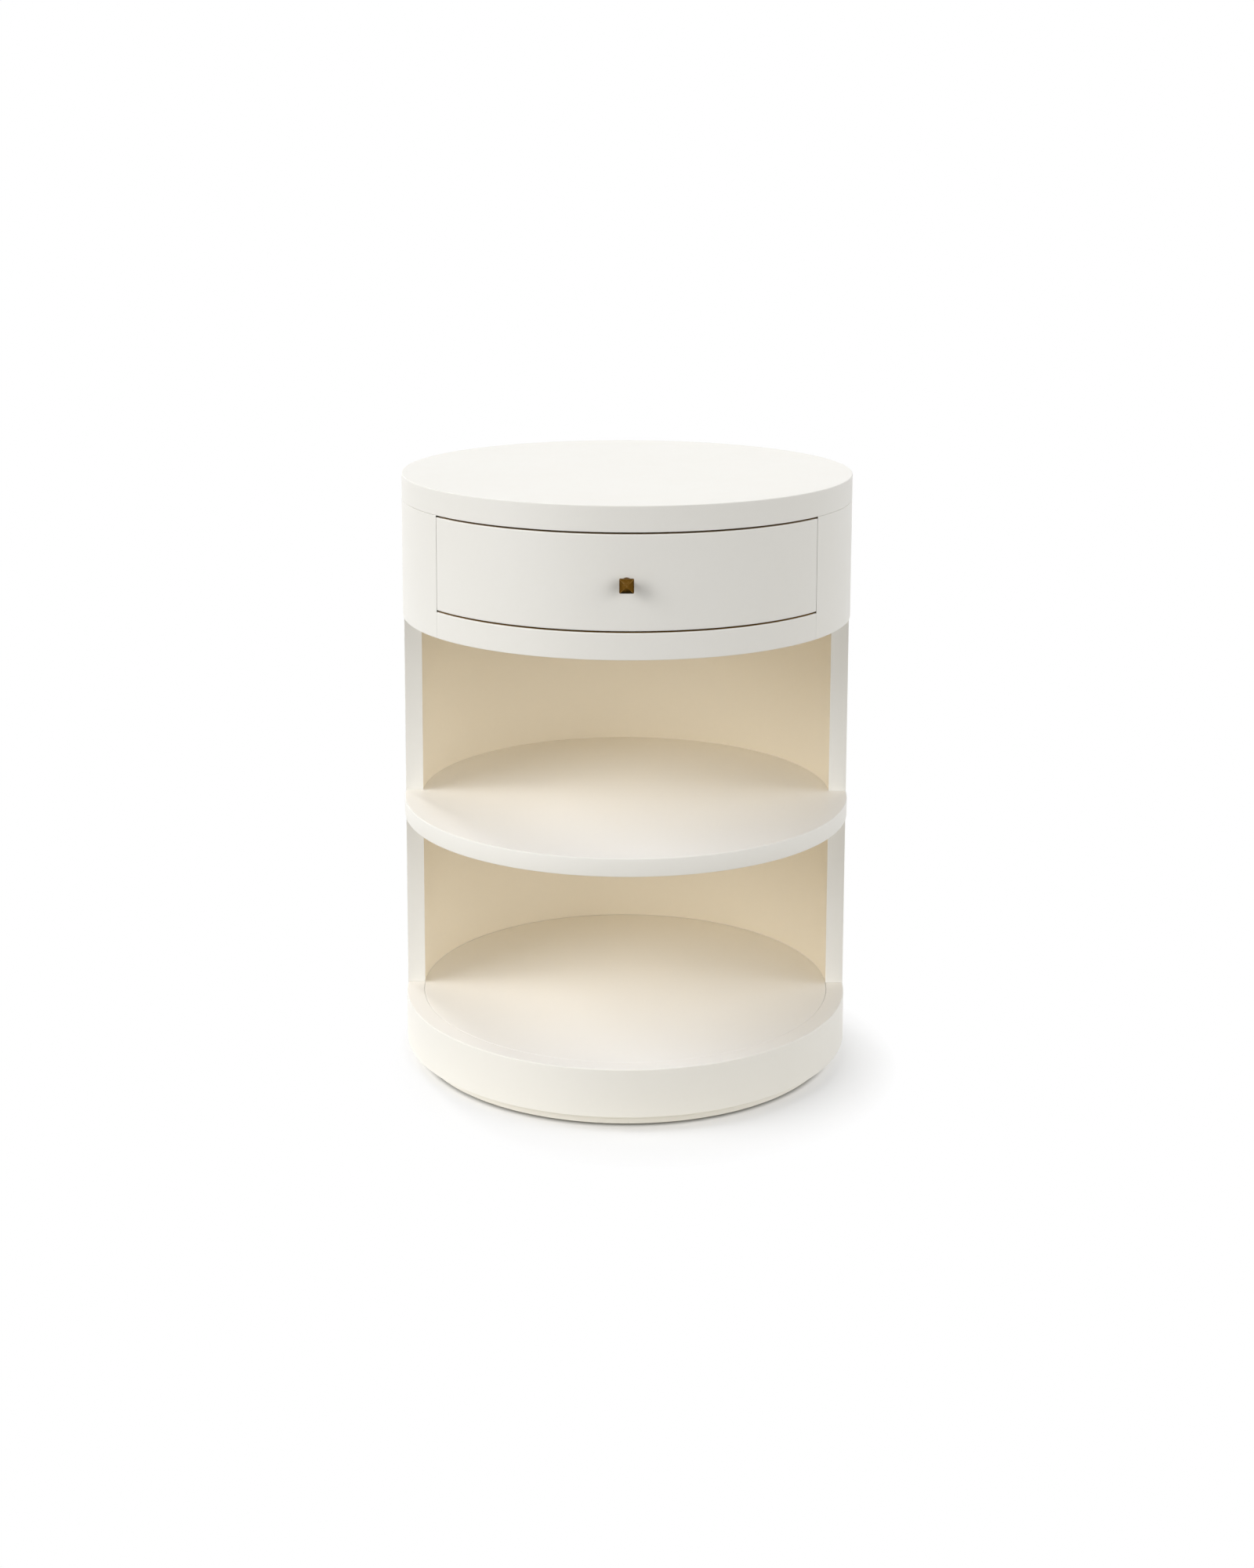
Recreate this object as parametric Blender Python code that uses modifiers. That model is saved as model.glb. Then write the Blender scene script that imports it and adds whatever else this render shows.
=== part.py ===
"""A round bedside cabinet, in metres, +Z up, with its front towards -Y.

A drum with one curved drawer stands over two open compartments. A half-round back shell on a
round base carries the middle shelf, the drum floor and the top. The drawer runs on a pair of
three-member slides, and its origin lies on the line along which it slides.
"""

from math import asin, ceil, cos, pi, radians, sin, sqrt

import bmesh
import bpy
from mathutils import Matrix, Vector

# Overall form
DRUM_RADIUS = 0.254
WALL = 0.020
OPENING_HALF_ANGLE = radians(53.7)

# Heights, from the floor up
PAD_THICKNESS = 0.002
PLINTH_THICKNESS = 0.013
RING_HEIGHT = 0.054
LOWER_OPENING = 0.212
SHELF_THICKNESS = 0.020
UPPER_OPENING = 0.212
RAIL_HEIGHT = 0.029
DRAWER_OPENING = 0.105
TOP_THICKNESS = 0.028

# Cabinet
TOE_INSET = 0.015
PAD_RADIUS = 0.019
PAD_INSET = 0.045
BASE_PANEL_THICKNESS = 0.018
BASE_LEDGE = 0.012
DADO_DEPTH = 0.008
DRUM_FLOOR_THICKNESS = 0.018
CHEEK_THICKNESS = 0.016
CHEEK_SETBACK = 0.0154
CHEEK_CLEARANCE = 0.0126
CLEAT_SECTION = 0.018
CLEAT_SCREW_INSET = 0.025
DOWEL_RADIUS = 0.004
DOWEL_LENGTH = 0.030
DOWEL_INSET = 0.030

# Drawer
FRONT_REVEAL = 0.0018
BOX_LIFT = 0.008
BOX_HEADROOM = 0.012
BOX_BACK_CLEARANCE = 0.0208
BOX_BOARD = 0.012
BOTTOM_THICKNESS = 0.006
BOTTOM_RISE = 0.008
BOTTOM_GROOVE = 0.006
BOTTOM_SCREW_INSET = 0.060

# Drawer slides
SLIDE_THICKNESS = 0.0127
SLIDE_HEIGHT = 0.035
SLIDE_SHEET = 0.0012
SLIDE_RACE = 0.0022
SLIDE_LIP = 0.0015
SLIDE_SCREW_INSET = 0.040
RUNNING_GAP = 0.0004
HEAD_CLEARANCE = 0.0006

# Knob
KNOB_WIDTH = 0.0152
KNOB_PLATE = 0.0030
KNOB_PEAK = 0.0040
KNOB_BACK_TAPER = 0.0030
KNOB_NECK_RADIUS = 0.0042
KNOB_NECK_LENGTH = 0.0085
KNOB_ROSE_RADIUS = 0.0062
KNOB_ROSE_THICKNESS = 0.0020
KNOB_BORE_DEPTH = 0.0080

# Screws: head radius, head height, shank radius, and how far the tip bites
HEAD_RADIUS = 0.0032
HEAD_HEIGHT = 0.0020
SHANK_RADIUS = 0.0016
SLIDE_SCREW_BITE = 0.008
BOTTOM_SCREW_BITE = 0.012
TOP_SCREW_BITE = 0.014
PLINTH_SCREW_BITE = 0.016
PLINTH_SCREW_SINK = 0.005
KNOB_HEAD_RADIUS = 0.0045
KNOB_SHANK_RADIUS = 0.0019

# Fits and fineness
SEAM = 0.0003
EASE = 0.0012
WELD = 0.00001
OVERCUT = 0.002
DRUM_SEGMENTS = 80
SMALL_SEGMENTS = 12

# Levels worked out from the heights
Z_PLINTH = PAD_THICKNESS
Z_RING = Z_PLINTH + PLINTH_THICKNESS
Z_BASE = Z_RING + RING_HEIGHT
Z_SHELF = Z_BASE + LOWER_OPENING
Z_SHELF_TOP = Z_SHELF + SHELF_THICKNESS
Z_RAIL = Z_SHELF_TOP + UPPER_OPENING
Z_RAIL_TOP = Z_RAIL + RAIL_HEIGHT
Z_DRUM_FLOOR = Z_RAIL + DRUM_FLOOR_THICKNESS
Z_TOP = Z_RAIL_TOP + DRAWER_OPENING
HEIGHT = Z_TOP + TOP_THICKNESS
Z_BOX = Z_RAIL_TOP + BOX_LIFT
Z_BOX_TOP = Z_TOP - BOX_HEADROOM
Z_SLIDE = (Z_BOX + Z_BOX_TOP) / 2
Z_BOTTOM = Z_BOX + BOTTOM_RISE
Z_BACK = Z_BOTTOM + BOTTOM_THICKNESS + SEAM
Z_FRONT = Z_RAIL_TOP + FRONT_REVEAL
Z_FRONT_TOP = Z_TOP - FRONT_REVEAL
Z_KNOB = (Z_FRONT + Z_FRONT_TOP) / 2

# Places in plan worked out from the radii
INNER_RADIUS = DRUM_RADIUS - WALL
DADO_RADIUS = INNER_RADIUS + DADO_DEPTH
PLINTH_RADIUS = DRUM_RADIUS - TOE_INSET
LEDGE_RADIUS = INNER_RADIUS - BASE_LEDGE
OPENING_HALF = DRUM_RADIUS * sin(OPENING_HALF_ANGLE)
FRONT_HALF = OPENING_HALF - FRONT_REVEAL
CHEEK_OUTER = OPENING_HALF - CHEEK_SETBACK
CHEEK_INNER = CHEEK_OUTER - CHEEK_THICKNESS
BOX_HALF = CHEEK_INNER - SLIDE_THICKNESS - 2 * SEAM
BOX_INNER = BOX_HALF - BOX_BOARD
BOX_BACK = sqrt(INNER_RADIUS**2 - BOX_HALF**2) - BOX_BACK_CLEARANCE
CHEEK_END = sqrt(INNER_RADIUS**2 - CHEEK_OUTER**2) - CHEEK_CLEARANCE
CLEAT_OUTER = CHEEK_OUTER + SEAM + CLEAT_SECTION
CLEAT_END = sqrt(INNER_RADIUS**2 - CLEAT_OUTER**2) - CHEEK_CLEARANCE
SIDES = (("left", -1), ("right", 1))

# Colours of the finishes, linear
FINISHES = {
    "white_lacquer": ((0.82, 0.80, 0.74), 0.42, 0.0),
    "birch": ((0.62, 0.47, 0.30), 0.55, 0.0),
    "zinc_steel": ((0.55, 0.56, 0.57), 0.35, 1.0),
    "antique_brass": ((0.36, 0.23, 0.09), 0.38, 1.0),
    "felt": ((0.09, 0.08, 0.07), 0.95, 0.0),
}


def clear_scene():
    """Empties the file and returns one collection for the parts and one for the cutters."""
    for old in list(bpy.data.objects):
        bpy.data.objects.remove(old)
    made = []
    for name in ("round_nightstand", "cutters"):
        collection = bpy.data.collections.new(name)
        bpy.context.scene.collection.children.link(collection)
        made.append(collection)
    return made


def make_finishes():
    """One Principled material for each finish."""
    made = {}
    for name, (color, roughness, metallic) in FINISHES.items():
        material = bpy.data.materials.new(name)
        material.use_nodes = True
        shader = material.node_tree.nodes["Principled BSDF"]
        shader.inputs["Base Color"].default_value = (*color, 1.0)
        shader.inputs["Roughness"].default_value = roughness
        shader.inputs["Metallic"].default_value = metallic
        made[name] = material
    return made


PARTS, CUTTERS = clear_scene()
MATERIALS = make_finishes()


def add_object(name, mesh, finish=None, location=(0, 0, 0), rotation=(0, 0, 0)):
    """Places a mesh as a part with a finish, or as a hidden cutter without one."""
    made = bpy.data.objects.new(name, mesh)
    made.location = location
    made.rotation_euler = rotation
    if finish is None:
        CUTTERS.objects.link(made)
        made.hide_render = True
        made.display_type = "WIRE"
    else:
        PARTS.objects.link(made)
        mesh.materials.append(MATERIALS[finish])
    bpy.context.view_layer.update()
    return made


def welded_mesh(source):
    """The evaluated mesh of a helper object, welded, facing out and smooth, with the helper removed."""
    bpy.context.scene.collection.objects.link(source)
    graph = bpy.context.evaluated_depsgraph_get()
    mesh = bpy.data.meshes.new_from_object(source.evaluated_get(graph))
    work = bmesh.new()
    work.from_mesh(mesh)
    bmesh.ops.remove_doubles(work, verts=work.verts, dist=WELD)
    bmesh.ops.recalc_face_normals(work, faces=work.faces)
    work.to_mesh(mesh)
    work.free()
    mesh.shade_smooth()
    mesh.set_sharp_from_angle(angle=radians(30))
    bpy.data.objects.remove(source)
    return mesh


def prism_mesh(outline, thickness):
    """A flat outline filled and thickened, centred on its own plane."""
    curve = bpy.data.curves.new("outline", "CURVE")
    curve.dimensions = "2D"
    curve.fill_mode = "BOTH"
    curve.extrude = thickness / 2
    spline = curve.splines.new("POLY")
    spline.points.add(len(outline) - 1)
    for point, (x, y) in zip(spline.points, outline):
        point.co = (x, y, 0, 1)
    spline.use_cyclic_u = True
    return welded_mesh(bpy.data.objects.new("outline", curve))


def turned_mesh(profile, segments, closed=False):
    """A profile of (radius, height) points, run down its outer side, turned about Z."""
    mesh = bpy.data.meshes.new("profile")
    edges = [(i, i + 1) for i in range(len(profile) - 1)]
    if closed:
        edges.append((len(profile) - 1, 0))
    mesh.from_pydata([(radius, 0, height) for radius, height in profile], edges, [])
    source = bpy.data.objects.new("profile", mesh)
    screw = source.modifiers.new("turn", "SCREW")
    screw.steps = segments
    screw.render_steps = segments
    screw.use_merge_vertices = True
    screw.merge_threshold = WELD
    return welded_mesh(source)


def plate(name, outline, bottom, top, finish, ease=0.0):
    """A part with a plan outline between two levels, its rims eased where asked."""
    made = add_object(name, prism_mesh(outline, top - bottom), finish, (0, 0, (bottom + top) / 2))
    if ease:
        bevel = made.modifiers.new("eased_edges", "BEVEL")
        bevel.width = ease
        bevel.segments = 2
        bevel.limit_method = "ANGLE"
        bevel.angle_limit = radians(40)
    return made


def block(name, low, high, finish=None):
    """A rectangular board, or a cutter without a finish, between two corners."""
    size = [b - a for a, b in zip(low, high)]
    mesh = bpy.data.meshes.new(name)
    work = bmesh.new()
    bmesh.ops.create_cube(work, size=1, matrix=Matrix.Diagonal((*size, 1)))
    work.to_mesh(mesh)
    work.free()
    return add_object(name, mesh, finish, [(a + b) / 2 for a, b in zip(low, high)])


def cut(part, cutter, operation="DIFFERENCE"):
    """Takes the cutter out of the part, or joins it on."""
    boolean = part.modifiers.new(cutter.name, "BOOLEAN")
    boolean.operation = operation
    boolean.object = cutter


def turn_to(direction):
    """Rotation that carries local +Z to a direction."""
    return Vector((0, 0, 1)).rotation_difference(Vector(direction)).to_euler()


def rod(name, radius, start, direction, length, finish=None):
    """A round pin, or a cutter without a finish, that runs from a point along a direction."""
    profile = [(0, length), (radius, length), (radius, 0), (0, 0)]
    return add_object(name, turned_mesh(profile, SMALL_SEGMENTS), finish, start, turn_to(direction))


def screw(name, seat, direction, length, pieces, head_radius=HEAD_RADIUS, shank_radius=SHANK_RADIUS):
    """A screw whose head lies on the seat and whose shank runs along the direction through the pieces."""
    away = -Vector(direction)
    profile = [
        (0, SEAM + HEAD_HEIGHT),
        (head_radius, SEAM + HEAD_HEIGHT),
        (head_radius, SEAM),
        (shank_radius, SEAM),
        (shank_radius, -length),
        (0, -length),
    ]
    made = add_object(name, turned_mesh(profile, SMALL_SEGMENTS), "zinc_steel", seat, turn_to(away))
    start = Vector(seat) + away * SEAM
    hole = rod(name + "_hole", shank_radius + SEAM, start, direction, length + 2 * SEAM)
    for piece in pieces:
        cut(piece, hole)
    return made


def arc(radius, start, end):
    """Points on an arc in plan, with angles counted from the front towards +X."""
    steps = max(1, ceil(abs(end - start) / (2 * pi / DRUM_SEGMENTS) - WELD))
    turns = [start + (end - start) * i / steps for i in range(steps + 1)]
    return [(radius * sin(t), -radius * cos(t)) for t in turns]


def reach(half_width, radius):
    """Angle from the front at which an arc comes to a half width."""
    return asin(half_width / radius)


def mirrored(outline, side):
    """The outline as drawn for the right, or turned over for the left."""
    return outline if side > 0 else [(-x, y) for x, y in reversed(outline)]


def curved_band(half_width):
    """Outline of a piece of the drum's wall that ends in two faces parallel to the drawer's travel."""
    outer = reach(half_width, DRUM_RADIUS)
    inner = reach(half_width, INNER_RADIUS)
    return arc(DRUM_RADIUS, -outer, outer) + arc(INNER_RADIUS, inner, -inner)


def stepped_disc(front_radius, rear_radius):
    """Outline of a round panel whose rear half is let into the shell."""
    return arc(front_radius, -pi / 2, pi / 2) + arc(rear_radius, pi / 2, 3 * pi / 2)


def eased_disc(radius, bottom, top, ease):
    """Profile of a round panel with both rims eased."""
    upper = [(radius - ease, top), (radius, top - ease)]
    lower = [(radius, bottom + ease), (radius - ease, bottom)]
    return [(0, top)] + upper + lower + [(0, bottom)]


def ring_points(radius, count, first):
    """Places evenly round the axis, the first at an angle from the front."""
    turns = [first + 2 * pi * i / count for i in range(count)]
    return [(radius * sin(t), -radius * cos(t)) for t in turns]


def build_base():
    """The felt pads, the recessed plinth, the base ring with its ledge and the panel on the ledge."""
    plinth = add_object(
        "toe_plinth",
        turned_mesh(eased_disc(PLINTH_RADIUS, Z_PLINTH + SEAM, Z_RING, EASE / 2), DRUM_SEGMENTS),
        "white_lacquer",
    )
    ledge_top = Z_BASE - BASE_PANEL_THICKNESS
    ring_profile = [
        (DRUM_RADIUS - EASE, Z_BASE),
        (DRUM_RADIUS, Z_BASE - EASE),
        (DRUM_RADIUS, Z_RING + SEAM + EASE),
        (DRUM_RADIUS - EASE, Z_RING + SEAM),
        (LEDGE_RADIUS, Z_RING + SEAM),
        (LEDGE_RADIUS, ledge_top),
        (INNER_RADIUS, ledge_top),
        (INNER_RADIUS, Z_BASE),
    ]
    ring = add_object("base_ring", turned_mesh(ring_profile, DRUM_SEGMENTS, closed=True), "white_lacquer")
    panel_profile = eased_disc(INNER_RADIUS - SEAM, ledge_top + SEAM, Z_BASE, EASE / 2)
    add_object("base_panel", turned_mesh(panel_profile, DRUM_SEGMENTS), "white_lacquer")

    pad_profile = [(0, PAD_THICKNESS), (PAD_RADIUS, PAD_THICKNESS), (PAD_RADIUS, 0), (0, 0)]
    places = [(0, 0)] + ring_points(PLINTH_RADIUS - PAD_INSET, 4, 0)
    for number, (x, y) in enumerate(places):
        name = f"floor_pad_{number}" if number else "floor_pad_center"
        add_object(name, turned_mesh(pad_profile, 2 * SMALL_SEGMENTS), "felt", (x, y, 0))

    seat = Z_PLINTH + SEAM + PLINTH_SCREW_SINK
    length = Z_RING + PLINTH_SCREW_BITE - seat
    for number, (x, y) in enumerate(ring_points((LEDGE_RADIUS + PLINTH_RADIUS) / 2, 4, pi / 4), 1):
        screw(f"plinth_screw_{number}", (x, y, seat), (0, 0, 1), length, (plinth, ring))
        start = (x, y, Z_PLINTH - OVERCUT)
        sink = rod(f"plinth_sink_{number}", HEAD_RADIUS + SEAM, start, (0, 0, 1), seat - start[2])
        cut(plinth, sink)


def build_shell():
    """The half-round back shell, grooved inside for the middle shelf and the drum floor."""
    inside = [(INNER_RADIUS, Z_BASE + SEAM)]
    for low, high in ((Z_SHELF, Z_SHELF_TOP + SEAM), (Z_RAIL, Z_DRUM_FLOOR + SEAM)):
        inside += [(INNER_RADIUS, low), (DADO_RADIUS, low), (DADO_RADIUS, high), (INNER_RADIUS, high)]
    inside.append((INNER_RADIUS, Z_TOP))
    profile = [(DRUM_RADIUS, Z_TOP), (DRUM_RADIUS, Z_BASE + SEAM)] + inside
    shell = add_object("back_shell", turned_mesh(profile, DRUM_SEGMENTS, closed=True), "white_lacquer")
    beyond = DRUM_RADIUS + OVERCUT
    front_half = block("shell_front_half", (-beyond, -beyond, 0), (beyond, SEAM, HEIGHT))
    cut(shell, front_half)
    return shell


def build_shelves():
    """The middle shelf and the drum floor, each with its rear half let into the shell."""
    in_dado = DADO_RADIUS - SEAM
    shelf_outline = stepped_disc(DRUM_RADIUS, in_dado)
    plate("middle_shelf", shelf_outline, Z_SHELF + SEAM, Z_SHELF_TOP, "white_lacquer")
    floor_outline = stepped_disc(INNER_RADIUS - SEAM, in_dado)
    plate("drum_floor", floor_outline, Z_RAIL + SEAM, Z_DRUM_FLOOR, "white_lacquer")


def build_drum(shell):
    """The stiles on their dowels, the rail between them, the cheeks, and the top on its cleats."""
    stile_outline = arc(DRUM_RADIUS, OPENING_HALF_ANGLE, pi / 2)
    stile_outline += arc(INNER_RADIUS, pi / 2, reach(OPENING_HALF, INNER_RADIUS))
    plate("drawer_rail", curved_band(OPENING_HALF - SEAM), Z_RAIL + SEAM, Z_RAIL_TOP, "white_lacquer")
    top = add_object(
        "top_panel",
        turned_mesh(eased_disc(DRUM_RADIUS, Z_TOP + SEAM, HEIGHT, EASE), DRUM_SEGMENTS),
        "white_lacquer",
    )
    for name, side in SIDES:
        stile = plate(f"{name}_stile", mirrored(stile_outline, side), Z_RAIL + SEAM, Z_TOP, "white_lacquer")
        middle_of_wall = side * (DRUM_RADIUS - WALL / 2)
        for place, z in (("lower", Z_RAIL + DOWEL_INSET), ("upper", Z_TOP - DOWEL_INSET)):
            dowel = f"{name}_{place}_stile_dowel"
            start = Vector((middle_of_wall, -DOWEL_LENGTH / 2, z))
            rod(dowel, DOWEL_RADIUS, start, (0, 1, 0), DOWEL_LENGTH, "birch")
            before = start - Vector((0, SEAM, 0))
            hole = rod(dowel + "_hole", DOWEL_RADIUS + SEAM, before, (0, 1, 0), DOWEL_LENGTH + 2 * SEAM)
            cut(stile, hole)
            cut(shell, hole)

        xs = sorted((side * CHEEK_INNER, side * CHEEK_OUTER))
        low, high = (xs[0], -CHEEK_END, Z_DRUM_FLOOR + SEAM), (xs[1], CHEEK_END, Z_TOP)
        block(f"{name}_cheek", low, high, "birch")
        xs = sorted((side * (CHEEK_OUTER + SEAM), side * CLEAT_OUTER))
        low, high = (xs[0], -CLEAT_END, Z_TOP - CLEAT_SECTION), (xs[1], CLEAT_END, Z_TOP)
        cleat = block(f"{name}_top_cleat", low, high, "birch")
        for place, along in (("front", -1), ("rear", 1)):
            y = along * (CLEAT_END - CLEAT_SCREW_INSET)
            seat = (sum(xs) / 2, y, Z_TOP - CLEAT_SECTION)
            length = CLEAT_SECTION + TOP_SCREW_BITE
            screw(f"{name}_{place}_top_screw", seat, (0, 0, 1), length, (cleat, top))


def channel(back, tip, half_height, web, flange):
    """Cross-section of a slide member: a web at its back and two flanges that reach to the tip."""
    inside = back + web if tip > back else back - web
    upper = [(back, half_height), (tip, half_height), (tip, half_height - flange), (inside, half_height - flange)]
    return upper + [(s, -z) for s, z in reversed(upper)]


def slide_member(name, section, side):
    """A slide member of the cabinet's slide length, its section drawn outwards from the drawer side."""
    start = BOX_HALF + SEAM
    outline = [(side * (start + s), z) for s, z in section]
    mesh = prism_mesh(outline, 2 * CHEEK_END)
    return add_object(name, mesh, "zinc_steel", (0, 0, Z_SLIDE), (pi / 2, 0, 0))


def build_slides(drawer_sides):
    """Both slides, nested with a running gap, with the screws of their outer and inner members."""
    cabinet_half = SLIDE_HEIGHT / 2
    middle_half = cabinet_half - SLIDE_SHEET - RUNNING_GAP
    drawer_half = middle_half - SLIDE_RACE - RUNNING_GAP
    cabinet_seat = SLIDE_THICKNESS - SLIDE_SHEET
    middle_back = cabinet_seat - SEAM - HEAD_HEIGHT - HEAD_CLEARANCE
    middle_tip = SLIDE_SHEET + SLIDE_LIP
    drawer_tip = middle_back - SLIDE_SHEET - RUNNING_GAP
    sections = {
        "cabinet": channel(SLIDE_THICKNESS, middle_tip + SLIDE_LIP, cabinet_half, SLIDE_SHEET, SLIDE_SHEET),
        "middle": channel(middle_back, middle_tip, middle_half, SLIDE_SHEET, SLIDE_RACE),
        "drawer": channel(0, drawer_tip, drawer_half, SLIDE_SHEET, SLIDE_SHEET),
    }
    moving = {}
    for name, side in SIDES:
        members = {
            kind: slide_member(f"{name}_{kind}_slide", section, side) for kind, section in sections.items()
        }
        cheek = bpy.data.objects[f"{name}_cheek"]
        joined = {
            "cabinet": (cabinet_seat, side, cheek),
            "drawer": (SLIDE_SHEET, -side, drawer_sides[name]),
        }
        moving[name] = [members["drawer"]]
        for kind, (seat_at, along, board) in joined.items():
            x = side * (BOX_HALF + SEAM + seat_at)
            for place, end in (("front", -1), ("rear", 1)):
                seat = (x, end * (CHEEK_END - SLIDE_SCREW_INSET), Z_SLIDE)
                length = SLIDE_SHEET + SEAM + SLIDE_SCREW_BITE
                fixing = screw(
                    f"{name}_{place}_{kind}_slide_screw", seat, (along, 0, 0), length, (members[kind], board)
                )
                if kind == "drawer":
                    moving[name].append(fixing)
        carry(f"{name}_middle_runner", (members["middle"].location), [members["middle"]])
    return moving["left"] + moving["right"]


def build_drawer_box():
    """The curved front, the sides, the back, and the bottom in its grooves."""
    front = plate("drawer_front", curved_band(FRONT_HALF), Z_FRONT, Z_FRONT_TOP, "white_lacquer", EASE)
    touch = INNER_RADIUS - SEAM
    side_outline = arc(touch, reach(BOX_INNER, touch), reach(BOX_HALF, touch))
    side_outline += [(BOX_HALF, BOX_BACK), (BOX_INNER, BOX_BACK)]
    sides = {
        name: plate(f"drawer_{name}_side", mirrored(side_outline, side), Z_BOX, Z_BOX_TOP, "birch")
        for name, side in SIDES
    }
    back_half = BOX_INNER - SEAM
    back_low, back_high = (-back_half, BOX_BACK - BOX_BOARD, Z_BACK), (back_half, BOX_BACK, Z_BOX_TOP)
    back = block("drawer_back", back_low, back_high, "birch")

    def bottom_outline(slack, rear):
        half = BOX_INNER + BOTTOM_GROOVE - slack
        radius = INNER_RADIUS + BOTTOM_GROOVE - slack
        edge = reach(half, radius)
        return arc(radius, -edge, edge) + [(half, rear), (-half, rear)]

    bottom = plate(
        "drawer_bottom", bottom_outline(SEAM, BOX_BACK), Z_BOTTOM, Z_BOTTOM + BOTTOM_THICKNESS, "birch"
    )
    groove_mesh = prism_mesh(bottom_outline(0, BOX_BACK + OVERCUT), BOTTOM_THICKNESS + 2 * SEAM)
    groove = add_object("bottom_groove", groove_mesh, None, bottom.location)
    for piece in (front, *sides.values()):
        cut(piece, groove)

    fixings = []
    for name, side in SIDES:
        seat = (side * (BOX_INNER - BOTTOM_SCREW_INSET), BOX_BACK - BOX_BOARD / 2, Z_BOTTOM)
        length = BOTTOM_THICKNESS + SEAM + BOTTOM_SCREW_BITE
        fixings.append(screw(f"{name}_bottom_screw", seat, (0, 0, 1), length, (bottom, back)))
    return front, sides, [front, *sides.values(), back, bottom, *fixings]


def build_knob(front):
    """The square knob: a rose and a round neck under a tapered plate with a pyramid face, and its screw."""
    neck_end = KNOB_ROSE_THICKNESS + KNOB_NECK_LENGTH
    plate_back = neck_end + KNOB_BACK_TAPER
    plate_front = plate_back + KNOB_PLATE
    corner = KNOB_WIDTH / sqrt(2)
    neck_corner = KNOB_NECK_RADIUS * sqrt(2)
    head_profile = [
        (0, plate_front + KNOB_PEAK),
        (corner, plate_front),
        (corner, plate_back),
        (neck_corner, neck_end),
        (0, neck_end),
    ]
    neck_profile = [
        (0, plate_back),
        (KNOB_NECK_RADIUS, plate_back),
        (KNOB_NECK_RADIUS, KNOB_ROSE_THICKNESS + EASE),
        (KNOB_ROSE_RADIUS, KNOB_ROSE_THICKNESS),
        (KNOB_ROSE_RADIUS, SEAM),
        (0, SEAM),
    ]
    seat = Vector((0, -DRUM_RADIUS, Z_KNOB))
    outwards = (0, -1, 0)
    head_turn = (turn_to(outwards).to_matrix() @ Matrix.Rotation(pi / 4, 3, "Z")).to_euler()
    knob = add_object("knob", turned_mesh(head_profile, 4), "antique_brass", seat, head_turn)
    neck = add_object("knob_neck", turned_mesh(neck_profile, 2 * SMALL_SEGMENTS), None, seat, turn_to(outwards))
    cut(knob, neck, "UNION")
    inner_face = Vector((0, -INNER_RADIUS, Z_KNOB))
    length = WALL + KNOB_BORE_DEPTH - SEAM
    pieces = (front, knob)
    fixing = screw("knob_screw", inner_face, outwards, length, pieces, KNOB_HEAD_RADIUS, KNOB_SHANK_RADIUS)
    return [knob, fixing]


def carry(name, location, pieces):
    """An empty on the line of travel that carries the pieces of a moving body."""
    runner = bpy.data.objects.new(name, None)
    runner.location = location
    PARTS.objects.link(runner)
    bpy.context.view_layer.update()
    for piece in pieces:
        piece.parent = runner
        piece.matrix_parent_inverse = runner.matrix_world.inverted()


def main():
    """Builds the cabinet, the drawer and the slides, and hangs the drawer's pieces on its runner."""
    build_base()
    shell = build_shell()
    build_shelves()
    build_drum(shell)
    front, drawer_sides, drawer_pieces = build_drawer_box()
    drawer_pieces += build_knob(front)
    drawer_pieces += build_slides(drawer_sides)
    carry("drawer_runner", (0, 0, Z_SLIDE), drawer_pieces)


main()
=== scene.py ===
"""A round nightstand with one drawer: surfaces, finishes and studio stage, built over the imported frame."""

from math import pi, radians

import bmesh
import bpy
from bpy.props import FloatProperty, FloatVectorProperty, IntProperty, PointerProperty
from mathutils import Matrix, Vector
import numpy as np


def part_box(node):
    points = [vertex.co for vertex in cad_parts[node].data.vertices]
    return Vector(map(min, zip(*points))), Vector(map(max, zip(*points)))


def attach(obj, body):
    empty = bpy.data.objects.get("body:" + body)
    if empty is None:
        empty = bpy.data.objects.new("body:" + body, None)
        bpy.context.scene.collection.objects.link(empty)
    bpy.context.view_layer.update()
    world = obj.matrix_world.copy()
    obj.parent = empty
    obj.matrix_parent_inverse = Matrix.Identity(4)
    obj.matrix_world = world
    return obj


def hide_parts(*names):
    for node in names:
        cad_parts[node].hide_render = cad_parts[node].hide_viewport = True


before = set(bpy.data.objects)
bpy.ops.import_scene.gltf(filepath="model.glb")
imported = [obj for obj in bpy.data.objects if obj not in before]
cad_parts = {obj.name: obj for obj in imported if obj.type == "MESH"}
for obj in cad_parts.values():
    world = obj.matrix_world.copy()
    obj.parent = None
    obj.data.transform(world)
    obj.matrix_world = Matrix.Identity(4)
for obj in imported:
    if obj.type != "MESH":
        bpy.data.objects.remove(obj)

bl_info = {
    "name": "Drum nightstand",
    "version": (1, 0, 0),
    "blender": (4, 5, 0),
    "location": "3D View > Sidebar > Nightstand",
    "description": "Builds the surfaces, finishes and stage of a round nightstand with one drawer",
    "category": "Add Mesh",
}

SIDES = (("left", -1), ("right", 1))
X, Y = 0, 1
WHITE = (1.0, 1.0, 1.0, 1.0)

# The photo's height and its camera's focal length and middle row, all in pixels.
PHOTO_HEIGHT = 2000
FOCAL_LENGTH = 2910.3
MIDDLE_ROW = 610


def length(name, description, default):
    """A length in metres."""
    return FloatProperty(
        name=name, description=description, default=default, min=0.0, unit="LENGTH", precision=5
    )


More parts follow.
